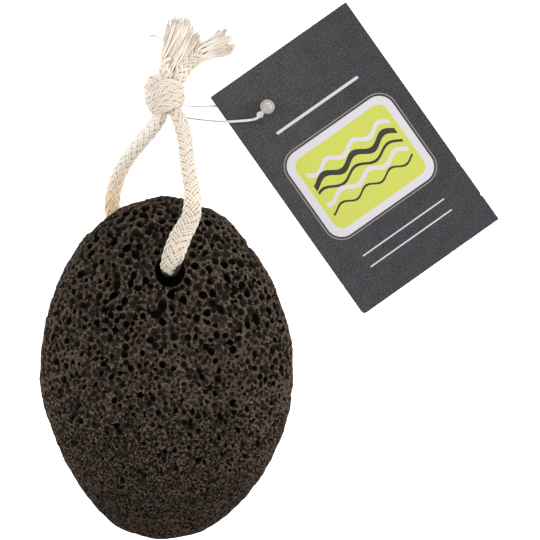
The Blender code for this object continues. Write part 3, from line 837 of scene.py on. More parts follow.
    # 1 on what stands alone in the light, the yarns' tips and the strays, which the material darkens as painted shade
    alone = np.maximum(smooth(0.72, 1.0, t[:, 0])[None, :] * 0.75, np.array(stray_list)[:, None])
    vertex_values(mesh, "alone", np.concatenate([np.repeat(alone.ravel(), 6), alone[:, 0], alone[:, -1],
                                                 np.zeros(len(body))]))
    # painted shade: 1 on the sides and undersides of the yarns and 0.7 on the body, coloured a warmer tan in place of
    # light come through cotton
    flank = 0.5 - 0.5 * np.sin(np.arange(6) * TAU / 6)
    vertex_values(mesh, "flank", np.concatenate([np.tile(smooth(0.25, 0.75, flank), m * n), np.full(2 * m, 0.5),
                                                 np.full(len(body), 0.7)]))
    obj = link(name, mesh)
    obj.data.materials.append(combed_mat)
    return obj


FAN_UP = [(168.6, 21.1), (170.6, 19.5), (174.7, 20.1), (179.4, 17.6), (182.6, 16.9), (187.4, 19.8),
          (189.5, 23.3), (192.4, 25.5), (194.6, 28.4), (197.2, 30.3), (199.8, 33.5), (200.6, 37.5), (200.9, 41.0)]
FAN_SIDE = [(219.0, 31.3), (224.7, 30.3), (225.6, 33.5), (229.8, 38.0), (232.4, 43.1), (233.8, 46.0),
            (233.2, 49.8), (229.6, 52.6), (224.0, 54.2)]
stray = [left_ends[0][np.argmin(left_ends[0][:, 0])],
         plan(163.4, 44.0, 4.6), plan(161.9, 40.2, 5.2), plan(158.8, 37.8, 5.6), plan(154.0, 36.2, 5.6), plan(146.6, 36.4, 5.0)]
# yarns of the upright tail that came out low and lie along the other tail
low_yarns = []
for k, (a, b, c, z) in enumerate((
        ((176.5, 73.0), (187.0, 55.0), (198.0, 37.0), 5.0), ((177.5, 72.0), (188.5, 54.5), (200.0, 40.0), 4.4),
        ((178.5, 71.0), (190.0, 54.0), (200.6, 43.5), 3.8), ((177.0, 70.0), (187.0, 52.0), (196.5, 34.5), 5.4),
        ((176.0, 68.0), (185.0, 50.0), (194.0, 31.0), 5.8), ((179.5, 70.5), (191.0, 54.5), (201.5, 45.5), 3.0),
        ((178.0, 66.5), (187.5, 49.5), (197.6, 32.5), 3.0), ((176.0, 64.0), (184.5, 46.0), (192.0, 27.5), 4.6))):
    low_yarns.append(([plan(*a, z + 0.4), plan(*b, z), plan(*c, z - 0.6)], 1.0))
fray_up = fray("cord_fray_up", left_ends, FAN_UP, 31, height=4.6, extra=[(stray, 2.1)] + low_yarns)
fray_side = fray("cord_fray_side", right_ends, FAN_SIDE, 32, height=3.9)

# ------------------------------------------------------------------ stone
GRID = 0.25


def rows_of_weights(fine, origin, step, n):
    """Catmull-Rom weights that take n coarse samples to the fine positions."""
    t = (fine - origin) / step
    i = np.clip(np.floor(t).astype(int), 1, n - 3)
    f = t - i
    w = np.zeros((len(fine), n), np.float32)
    r = np.arange(len(fine))
    w[r, i - 1] = 0.5 * (-f + 2 * f * f - f ** 3)
    w[r, i] = 0.5 * (2 - 5 * f * f + 3 * f ** 3)
    w[r, i + 1] = 0.5 * (f + 4 * f * f - 3 * f ** 3)
    w[r, i + 2] = 0.5 * (-f * f + f ** 3)
    return w


def resample(coarse, wx, wy, wz):
    a = np.tensordot(wx, coarse, (1, 0))
    a = np.einsum("ij,ajc->aic", wy, a, optimize=True)
    return np.matmul(a, wz.T).astype(np.float32)


def stone_form(x, y, z):
    """Negative inside the smooth stone, zero on its skin."""
    reach = np.hypot(x, y) / plan_radius(np.arctan2(y, x))
    up = z - RIM_Z
    belly = BELLY_DROP * (1 - 0.24 * smooth(-6.0, 30.0, y))
    power = np.where(up > 0, CROWN_ROUND, BELLY_ROUND)
    tall = np.where(up > 0, TOP_RISE + swell(x, y), belly)
    return (reach ** power + (np.abs(up) / tall) ** power) ** (1 / power) - 1


def bubble_size(x, y, z):
    """Typical radius of the gas bubbles: coarse at the drilled end, fine at the other."""
    size = 0.28 + 0.16 * smooth(-46, -14, y) + 0.25 * smooth(-12, 30, y)
    near_girth = smooth(11, 3, np.abs(z - RIM_Z))
    size = size * (1 - 0.14 * near_girth)
    return np.where(z < RIM_Z - 4, size * 1.3 + 0.08, size)


def make_stone():
    rng = np.random.default_rng(7)
    lo = np.array([-41.0, -54.0, -3.0])
    count = (83, 109, 44)
    cx, cy, cz = (lo[k] + np.arange(count[k]) for k in range(3))
    gx, gy, gz = np.meshgrid(cx, cy, cz, indexing="ij")
    field = stone_form(gx, gy, gz)
    slope = np.gradient(field)
    skin = np.clip(field / np.sqrt(sum(g * g for g in slope) + 1e-9), -9, 9)
    for step, amount in ((9.0, 0.20), (4.0, 0.13), (2.2, 0.07)):
        n = [int(c / step) + 6 for c in (85, 112, 46)]
        lump = rng.normal(size=n).astype(np.float32)
        w = [rows_of_weights(c, c[0] - step * 1.5, step, k) for c, k in zip((cx, cy, cz), n)]
        skin = skin + amount * resample(lump, *w)
    # one low swelling on the rim of the drilled end
    skin = skin - 0.55 * np.exp(-(((gx - 0.6) / 4.6) ** 2 + ((gy - 50.6) / 3.5) ** 2 + ((gz - 20.0) / 5.0) ** 2))
    skin = np.maximum(skin, -gz).astype(np.float32)

    fx, fy, fz = np.arange(-38.6, 38.6, GRID), np.arange(-51.9, 51.9, GRID), np.arange(-0.75, 37.6, GRID)
    solid = resample(skin, *(rows_of_weights(f, o, 1.0, n) for f, o, n in zip((fx, fy, fz), lo, count)))

    # --- gas bubbles: thrown largest first, each kept if it clears the ones before it
    step = 0.3
    px, py, pz = np.arange(-39, 39, step), np.arange(-52.5, 52.5, step), np.arange(-1.2, 38.4, step)
    shell = resample(skin, *(rows_of_weights(f, o, 1.0, n) for f, o, n in zip((px, py, pz), lo, count)))
    clear = np.full(shell.shape, 5.0, np.float32)
    near = np.flatnonzero(((shell < 0.9) & (shell > -1.5)).ravel())
    ix, iy, iz = np.unravel_index(near, shell.shape)
    typical = bubble_size(px[ix], py[iy], pz[iz]).astype(np.float32)
    typical *= np.exp(rng.normal(0, 0.06, len(typical))).astype(np.float32)
    height = shell.ravel()[near]
    free = clear.ravel()
    lean = (py[None, :, None] - HOLE_Y) * math.cos(HOLE_TILT) + (pz[None, None, :] - HOLE_TOP_Z) * math.sin(HOLE_TILT)
    from_bore = np.sqrt((px[:, None, None] - HOLE_X) ** 2 + lean ** 2).ravel()
    bubbles = []

    def keep(x, y, z, r):
        k = r + 1.7
        sx, sy, sz = (slice(*np.searchsorted(a, (c - k, c + k))) for a, c in ((px, x), (py, y), (pz, z)))
        away = np.sqrt((px[sx][:, None, None] - x) ** 2 + (py[sy][None, :, None] - y) ** 2
                       + (pz[sz][None, None, :] - z) ** 2) - r
        part = clear[sx, sy, sz]
        np.minimum(part, away.astype(np.float32), out=part)
        bubbles.append((x, y, z, r))

    for (u, v, r, sink) in LARGE_BUBBLES:
        at = plan(u, v, 33.0)
        top = float(stone_top(np.float64(at[0]), np.float64(at[1])))
        at = plan(u, v, top)
        inward = stone_normal(at[0], at[1]) * -sink
        keep(at[0] + inward[0], at[1] + inward[1], top + inward[2], r)

    # the walls between bubbles are thin in some places and thick in others
    lump = rng.normal(size=(16, 20, 11)).astype(np.float32)
    thick = resample(lump, *(rows_of_weights(f, f[0] - 7.0, 7.0, k) for f, k in zip((px, py, pz), lump.shape)))
    wall = (0.08 + 0.15 * smooth(-0.9, 0.9, thick.ravel()[near])).astype(np.float32)
    for scale, share in ((2.0, 0.03), (1.7, 0.07), (1.45, 0.12), (1.22, 0.20), (1.03, 0.30), (0.87, 0.45),
                         (0.73, 0.62), (0.61, 0.78), (0.50, 0.9), (0.41, 0.9)):
        radius = typical * scale
        deep, shallow = (0.80, 0.35) if scale > 0.6 else (0.75, 0.15)
        fits = (free[near] > radius * 0.92 + wall) & (height < radius * shallow) & (height > -radius * deep)
        fits &= radius > 0.26 + 0.09 * smooth(-14.0, -30.0, py[iy])
        # none breaks into the bore, which stays a plain drilled wall with a clean rim
        fits &= from_bore[near] > HOLE_RADIUS + radius * 1.15 + 0.12
        pick = np.flatnonzero(fits)
        rng.shuffle(pick)
        # only a share of the places of this size is used, evenly over the stone
        cell = (np.floor(px[ix[pick]] / (radius[pick] * 2.1)).astype(np.int64) * 73856093
                ^ np.floor(py[iy[pick]] / (radius[pick] * 2.1)).astype(np.int64) * 19349663
                ^ np.floor(pz[iz[pick]] / (radius[pick] * 2.1)).astype(np.int64) * 83492791)
        part = share * (1 - 0.7 * smooth(-2.0, -26.0, py[iy[pick]])) if scale > 1.4 else share
        pick = pick[(cell * 2654435761 % 1000003) / 1000003.0 < part]
        for c in pick:
            if free[near[c]] > radius[c] * 0.92 + wall[c]:
                keep(px[ix[c]], py[iy[c]], pz[iz[c]], radius[c])
    bubbles = np.array(bubbles)
    bubbles[:, :3] += rng.uniform(-step / 2, step / 2, (len(bubbles), 3))

    carved = solid.copy()
    for x, y, z, r in bubbles:
        # stretched one way, pressed in another, and some are two bubbles run together
        axis = unit(rng.normal(size=3) * (0.7, 1.4, 0.6))
        longer = 1.0 + 0.5 * rng.uniform(0.0, 1.0) ** 1.6
        press = unit(np.cross(axis, rng.normal(size=3)))
        flat = rng.uniform(0.78, 1.0)
        balls = [(x, y, z, r * 1.06)]
        if r > 0.38 and rng.uniform() < 0.34:
            aside = unit(rng.normal(size=3) * (1.0, 1.0, 0.5)) * r * rng.uniform(0.55, 0.85)
            balls.append((x + aside[0], y + aside[1], z + aside[2], r * rng.uniform(0.5, 0.72)))
        for bx, by, bz, rr in balls:
            k = rr * longer + 0.5
            i, j, h = (slice(*np.searchsorted(a, (c - k, c + k))) for a, c in ((fx, bx), (fy, by), (fz, bz)))
            dx, dy, dz = (fx[i] - bx)[:, None, None], (fy[j] - by)[None, :, None], (fz[h] - bz)[None, None, :]
            along = dx * axis[0] + dy * axis[1] + dz * axis[2]
            over = dx * press[0] + dy * press[1] + dz * press[2]
            far = np.sqrt(np.maximum(dx * dx + dy * dy + dz * dz - along * along * (1 - 1 / longer ** 2)
                                     + over * over * (1 / flat ** 2 - 1), 0))
            part = carved[i, j, h]
            if part.size:
                np.maximum(part, (rr * (1 - 0.18 * (longer - 1)) - far).astype(np.float32), out=part)
    # broken, grainy walls
    for step, amount in ((0.8, 0.055), (1.9, 0.055)):
        shape = [int((f[-1] - f[0]) / step) + 6 for f in (fx, fy, fz)]
        lump = rng.normal(size=shape).astype(np.float32)
        calm = (1 - 0.45 * smooth(-12.0, -32.0, fy)).astype(np.float32)[None, :, None]
        carved += amount * calm * resample(lump, *(rows_of_weights(f, f[0] - 1.5 * step, step, k)
                                                   for f, k in zip((fx, fy, fz), shape)))
    carved = np.maximum(carved, -fz[None, None, :].astype(np.float32))
    across = (fy[:, None] - HOLE_Y) * math.cos(HOLE_TILT) + (fz[None, :] - HOLE_TOP_Z) * math.sin(HOLE_TILT)
    bore = HOLE_RADIUS - np.sqrt((fx[:, None, None] - HOLE_X) ** 2 + across[None] ** 2)
    carved = np.maximum(carved, bore.astype(np.float32))

    grid = openvdb.FloatGrid(background=3.0)
    grid.copyFromArray(np.clip(carved, -1, 1), tolerance=0.0)
    points, quads = grid.convertToQuads(0.0)
    points = points.astype(np.float64) * GRID + np.array([fx[0], fy[0], fz[0]])
    quads = quads.astype(np.int32)
    # loose crumbs inside are left out: only the largest connected piece stays
    label = np.arange(len(points), dtype=np.int32)
    while True:
        least = label[quads].min(axis=1)
        new = label.copy()
        for k in range(4):
            np.minimum.at(new, quads[:, k], least)
        new = new[new]
        if np.array_equal(new, label):
            break
        label = new
    names, sizes = np.unique(label, return_counts=True)
    main = names[np.argmax(sizes)]
    quads = quads[label[quads[:, 0]] == main]
    used = np.unique(quads)
    lookup = np.zeros(len(points), np.int32)
    lookup[used] = np.arange(len(used))
    points, quads = points[used], lookup[quads]
    # the mesh is thinned at a larger scale above the girth, which keeps more faces there
    levels = np.linspace(-2, 40, 400)
    larger = 1.0 + 0.9 * smooth(9.0, 22.0, levels)
    raised = np.concatenate([[0], np.cumsum(0.5 * (larger[1:] + larger[:-1]) * np.diff(levels))])
    grow = np.interp(points[:, 2], levels, larger)
    stretched = np.stack([points[:, 0] * grow, points[:, 1] * grow, np.interp(points[:, 2], levels, raised)], axis=1)
    rough = build_mesh("stone_rough", stretched, triangles=np.concatenate([quads[:, [0, 2, 1]], quads[:, [0, 3, 2]]]))
    obj = link("stone_surface", rough)
    faces = len(rough.polygons)
    goal = 198500
    if faces > goal:
        thin = obj.modifiers.new("Thin", "DECIMATE")
        thin.ratio = goal / faces
        shown = obj.evaluated_get(bpy.context.evaluated_depsgraph_get())
        fine = bpy.data.meshes.new_from_object(shown)
        obj.modifiers.remove(thin)
        obj.data = fine
        bpy.data.meshes.remove(rough)
    mesh = obj.data
    mesh.name = "stone_surface"
    co = np.empty(len(mesh.vertices) * 3, np.float32)
    mesh.vertices.foreach_get("co", co)
    co = co.reshape(-1, 3).astype(np.float64) * 1000.0
    co[:, 2] = np.interp(co[:, 2], raised, levels)
    co[:, :2] /= np.interp(co[:, 2], levels, larger)[:, None]
    mesh.vertices.foreach_set("co", (co * MM).astype(np.float32).ravel())
    mesh.update()
    mesh.shade_smooth()
    # how far below the rubbed skin each point lies
    at = [(co[:, k] - (fx, fy, fz)[k][0]) / GRID for k in range(3)]
    i = [np.clip(np.floor(a).astype(int), 0, s - 2) for a, s in zip(at, solid.shape)]
    f = [np.clip(a - b, 0, 1) for a, b in zip(at, i)]
    depth = 0.0
    for dx in (0, 1):
        for dy in (0, 1):
            for dz in (0, 1):
                weight = ((f[0] if dx else 1 - f[0]) * (f[1] if dy else 1 - f[1]) * (f[2] if dz else 1 - f[2]))
                depth = depth - weight * solid[i[0] + dx, i[1] + dy, i[2] + dz]
    vertex_values(mesh, "depth", np.clip(depth, 0.0, 4.0))
    print("stone:", len(bubbles), "bubbles,", faces, "faces before thinning,", len(mesh.polygons), "after")
    return obj


# Where the photograph shows single large bubbles: pixel, radius, how deep the centre sits.
LARGE_BUBBLES = [(125.0, 300.0, 1.15, 0.5), (125.0, 303.0, 1.05, 0.6), (227.0, 277.5, 1.35, 0.5),
                 (198.0, 461.0, 1.0, 0.6), (122.5, 481.0, 1.0, 0.6), (96.0, 239.0, 1.15, 0.5),
                 (139.0, 224.0, 1.2, 0.4), (151.5, 224.0, 1.15, 0.45), (116.0, 426.0, 0.95, 0.5)]


def stone_material():
    net = Net("Pumice_rough")
    at = net.place()
    x, y, z = net.xyz(at)
    depth = net.attribute("depth")
    broad = net.noise(at, 0.055, 3.0, 0.55)
    mottle = net.noise(at, 0.36, 4.0, 0.62)
    fleck = net.noise(at, 1.25, 3.0, 0.65)
    grit = net.noise(at, 3.1, 3.0, 0.7)
    foot = net.step(y, -4.0, -30.0)           # 1 at the fine-grained end
    # rubbed walls: grey-brown, browner in patches, darker and paler in flecks
    wall = net.mix(net.step(broad, 0.40, 0.62), (0.0475, 0.0368, 0.0282), (0.066, 0.0482, 0.0350))
    wall = net.mix(net.step(mottle, 0.46, 0.72), wall, (0.102, 0.079, 0.061))
    dark_fleck = net.math("MULTIPLY", net.step(fleck, 0.48, 0.34), net.math("SUBTRACT", 0.70, net.math("MULTIPLY", foot, 0.45)))
    wall = net.mix(dark_fleck, wall, (0.0125, 0.0100, 0.0080))
    wall = net.mix(net.math("MULTIPLY", net.step(fleck, 0.56, 0.70), 0.60), wall, (0.150, 0.115, 0.088))
    wall = net.mix(net.math("MULTIPLY", net.step(grit, 0.48, 0.34), 0.35), wall, (0.014, 0.012, 0.010))
    # painted highlight on the broken rims of the pores, partly their paler worn edges
    rim = net.math("MULTIPLY", net.step(depth, -0.02, 0.08), net.step(depth, 0.42, 0.14))
    rim_wear_and_highlight = net.math("MULTIPLY", rim, net.step(net.noise(at, 1.05, 3.0, 0.65), 0.48, 0.64))
    wall = net.mix(net.math("MULTIPLY", rim_wear_and_highlight, 0.80), wall, (0.185, 0.145, 0.116))
    # small pores that are finer than the mesh, painted near black as their shade, with pale edges, closest at the
    # fine-grained end
    pore = None
    for scale, low, high, more, mask_scale in ((0.80, 0.40, 0.34, 0.34, 0.55), (1.30, 0.42, 0.345, 0.30, 0.9), (1.95, 0.42, 0.34, 0.26, 1.3)):
        where = net.turned(at, (0.6 + scale, 0.9 * scale, 0.35 + 0.5 * scale))
        own, _, _ = net.xyz(net.cells(where, scale, random=0.90, what="Color"))
        spacing = net.math("ADD", net.cells(where, scale, random=0.90), net.math("MULTIPLY", net.math("SUBTRACT", own, 0.38), 0.22))
        here = net.math("ADD", net.noise(at, mask_scale, 2.0, 0.5), net.math("MULTIPLY", foot, more))
        here = net.step(here, 0.50, 0.57)
        edge = net.math("MULTIPLY", net.math("MULTIPLY", net.step(spacing, low + 0.16, low + 0.04), here), net.step(grit, 0.36, 0.56))
        wall = net.mix(net.math("MULTIPLY", edge, 0.50), wall, (0.118, 0.092, 0.072))
        new = net.math("MULTIPLY", net.step(spacing, low, high), here)
        pore = new if pore is None else net.math("MAXIMUM", pore, new)
    wall = net.mix(net.math("MULTIPLY", net.step(y, -20.0, -44.0), 0.52), wall, (0.0160, 0.0112, 0.0086))
    # painted light: paler towards the upper right and on the far left side, the stone's lit sides
    painted_light_sides = net.math("MAXIMUM", net.step(net.math("ADD", x, net.math("MULTIPLY", y, 0.5)), 14.0, 34.0), net.step(x, -22.0, -34.0))
    wall = net.mix(net.math("MULTIPLY", painted_light_sides, 0.30), wall, (0.135, 0.106, 0.086))

    # paler, browner patches and a few rusty flecks
    def near_to(px, py, radius, soft):
        ax, ay = net.math("SUBTRACT", x, px), net.math("SUBTRACT", y, py)
        away = net.math("SQRT", net.math("ADD", net.math("MULTIPLY", ax, ax), net.math("MULTIPLY", ay, ay)))
        away = net.math("ADD", away, net.math("MULTIPLY", net.math("SUBTRACT", mottle, 0.5), soft * 3.0))
        return net.step(away, radius + soft, radius - soft)

    above = net.step(z, 14.0, 22.0)
    for px, py, radius, soft, share, tint in (
            (26.0, -14.0, 5.5, 3.2, 0.50, (0.135, 0.092, 0.064)), (4.0, 4.0, 4.5, 3.5, 0.25, (0.105, 0.082, 0.064)),
            (6.2, -35.5, 0.5, 0.4, 0.85, (0.120, 0.034, 0.018)), (6.2, -45.5, 0.45, 0.4, 0.85, (0.120, 0.034, 0.018)),
            (-7.8, -39.0, 0.35, 0.3, 0.75, (0.090, 0.030, 0.018)), (-5.8, -36.2, 0.3, 0.3, 0.7, (0.240, 0.150, 0.105)),
            (-3.6, 43.2, 0.3, 0.25, 0.8, (0.300, 0.190, 0.140)), (-5.9, 41.8, 0.3, 0.25, 0.7, (0.260, 0.150, 0.100))):
        spot = net.math("MULTIPLY", net.math("MULTIPLY", near_to(px, py, radius, soft), above), share)
        wall = net.mix(spot, wall, tint)
    # pale and rusty grains
    grain = net.cells(at, 0.62)
    pale = net.math("MULTIPLY", net.step(grain, 0.15, 0.07), net.step(net.noise(at, 0.16, 1.0, 0.5), 0.50, 0.62))
    wall = net.mix(net.math("MULTIPLY", pale, 0.7), wall, (0.34, 0.26, 0.20))
    rust = net.math("MULTIPLY", net.step(net.noise(at, 0.30, 2.0, 0.6), 0.66, 0.74), net.step(y, 10.0, -32.0))
    wall = net.mix(net.math("MULTIPLY", rust, 0.5), wall, (0.080, 0.028, 0.016))
    # painted shade: the small pores are near black
    wall = net.mix(net.math("MULTIPLY", pore, 0.98), wall, net.mix(net.step(fleck, 0.44, 0.66), (0.0024, 0.0020, 0.0016), (0.0085, 0.0068, 0.0054)))
    # painted shade inside the bubbles: darker below the skin, and black in their depths
    ragged = net.math("ADD", depth, net.math("MULTIPLY", net.math("SUBTRACT", fleck, 0.5), 0.4))
    inside = net.step(ragged, 0.05, 0.42)
    inner = net.mix(net.step(fleck, 0.44, 0.64), (0.0172, 0.0140, 0.0111), (0.0405, 0.0325, 0.0254))
    inner = net.mix(net.step(ragged, 0.50, 1.30), inner, (0.0060, 0.0048, 0.0038))
    colour = net.mix(inside, net.mix(1.0, wall, (0.935, 0.905, 0.870), "MULTIPLY"), inner)
    # painted shade: the drilled bore is coloured near black from its rim on
    lean = net.math("ADD", net.math("MULTIPLY", net.math("SUBTRACT", y, HOLE_Y), math.cos(HOLE_TILT)),
                    net.math("MULTIPLY", net.math("SUBTRACT", z, HOLE_TOP_Z), math.sin(HOLE_TILT)))
    off = net.math("SUBTRACT", x, HOLE_X)
    away = net.math("SQRT", net.math("ADD", net.math("MULTIPLY", off, off), net.math("MULTIPLY", lean, lean)))
    colour = net.mix(net.math("MULTIPLY", net.step(away, HOLE_RADIUS + 0.25, HOLE_RADIUS + 0.05), 0.93), colour, (0.0012, 0.0010, 0.0008))
    height = net.math("ADD", net.math("MULTIPLY", grit, 0.5), net.math("MULTIPLY", pore, -1.0))
    height = net.math("ADD", height, net.math("MULTIPLY", fleck, 0.7))
    net.set(color=colour, rough=0.9, spec=0.015, normal=net.bump(height, 0.18, 0.9))
    return net.mat


stone = make_stone()
stone.data.materials.append(stone_material())

# ------------------------------------------------------------------ tag and fastener (made below)
TAG_W, TAG_L, TAG_T = 50.0, 80.0, 0.45
TAG_CENTRE, TAG_TURN, TAG_TILT = (55.95, 62.5), math.radians(35.2), math.radians(1.8)
TAG_HOLE, TAG_HOLE_RADIUS = (-12.45, 28.05), 1.1
TAG_RISE = 0.1 + TAG_W / 2 * math.sin(TAG_TILT) + TAG_T / 2


def on_tag(x, y, z):
    """From the card's own frame to the object's."""
    x, y, z = np.asarray(x, float), np.asarray(y, float), np.asarray(z, float)
    x1 = x * math.cos(TAG_TILT) + z * math.sin(TAG_TILT)
    z1 = -x * math.sin(TAG_TILT) + z * math.cos(TAG_TILT)
    x2 = x1 * math.cos(TAG_TURN) - y * math.sin(TAG_TURN)
    y2 = x1 * math.sin(TAG_TURN) + y * math.cos(TAG_TURN)
    return np.stack([x2 + TAG_CENTRE[0], y2 + TAG_CENTRE[1], z1 + TAG_RISE], axis=-1)


def make_tag():
    """A thin card: worn outline, punched hole, soft edges, printed face."""
    import bmesh
    rng = np.random.default_rng(5)
    outline = []

    def edge(x0, y0, x1, y1, steps, wear):
        for i in range(steps):
            t = i / steps
            x, y = x0 + (x1 - x0) * t, y0 + (y1 - y0) * t
            inward = unit(np.array([-(x0 + x1) / 2, -(y0 + y1) / 2]) + 1e-9)
            dent = abs(rng.normal(0, 0.012))
            for place, width, depth in wear:
                dent += depth * math.exp(-((t - place) / width) ** 2)
            outline.append((x + inward[0] * dent, y + inward[1] * dent))

    w, l, c = TAG_W / 2, TAG_L / 2, 0.22
    edge(-w + c, l, w - c, l, 60, [(0.74, 0.006, 0.22), (0.12, 0.004, 0.1)])
    edge(w - c, l, w, l - c, 3, [])
    edge(w, l - c, w, -l + c, 90, [(0.735, 0.004, 0.28), (0.76, 0.005, 0.2), (0.89, 0.004, 0.3)])
    edge(w, -l + c, w - c, -l, 3, [])
    edge(w - c, -l, -w + c * 4.5, -l, 60, [(0.35, 0.003, 0.08)])
    edge(-w + c * 4.5, -l, -w + c * 1.3, -l + c * 1.3, 3, [])
    edge(-w + c * 1.3, -l + c * 1.3, -w, -l + c * 4.5, 3, [])
    edge(-w, -l + c * 4.5, -w, l - c, 90, [(0.12, 0.004, 0.1), (0.52, 0.003, 0.09)])
    edge(-w, l - c, -w + c, l, 3, [])
    bm = bmesh.new()
    top = [bm.verts.new((x * MM, y * MM, 0)) for x, y in outline]
    ring = [bm.verts.new(((TAG_HOLE[0] + TAG_HOLE_RADIUS * math.cos(a)) * MM,
                          (TAG_HOLE[1] + TAG_HOLE_RADIUS * math.sin(a)) * MM, 0))
            for a in np.linspace(0, TAU, 32, endpoint=False)]
    edges = [bm.edges.new((v[i], v[(i + 1) % len(v)])) for v in (top, ring) for i in range(len(v))]
    bmesh.ops.triangle_fill(bm, use_beauty=True, use_dissolve=False, edges=edges)
    mesh = bpy.data.meshes.new("tag_card")
    bm.to_mesh(mesh)
    bm.free()
    obj = link("tag_card", mesh)
    thick = obj.modifiers.new("Thick", "SOLIDIFY")
    thick.thickness = TAG_T * MM
    thick.offset = 0.0
    bevel = obj.modifiers.new("Edge", "BEVEL")
    bevel.width = 0.05 * MM
    bevel.segments = 2
    bevel.limit_method = "ANGLE"
    fine = bpy.data.meshes.new_from_object(obj.evaluated_get(bpy.context.evaluated_depsgraph_get()))
    obj.modifiers.clear()
    obj.data = fine
    bpy.data.meshes.remove(mesh)
    mesh = fine
    mesh.name = "tag_card"
    co = np.empty(len(mesh.vertices) * 3, np.float32)
    mesh.vertices.foreach_get("co", co)
    co = co.reshape(-1, 3) * 1000.0
    # the print's own coordinates, in card widths and heights
    corner = np.empty(len(mesh.loops), np.int32)
    mesh.loops.foreach_get("vertex_index", corner)
    layer = mesh.uv_layers.new(name="card")
    uv = np.stack([co[corner, 0] / TAG_W + 0.5, co[corner, 1] / TAG_L + 0.5], axis=1)
    layer.data.foreach_set("uv", uv.astype(np.float32).ravel())
    face = np.abs(np.array([p.normal.z for p in mesh.polygons]))
    cut = mesh.attributes.new("cut_edge", "FLOAT", "FACE")
    cut.data.foreach_set("value", (face < 0.5).astype(np.float32))
    up = mesh.attributes.new("front", "FLOAT", "FACE")
    up.data.foreach_set("value", np.array([p.normal.z > 0.9 for p in mesh.polygons]).astype(np.float32))
    place = on_tag(co[:, 0], co[:, 1], co[:, 2]) * MM
    mesh.vertices.foreach_set("co", place.astype(np.float32).ravel())
    mesh.update()
    return obj


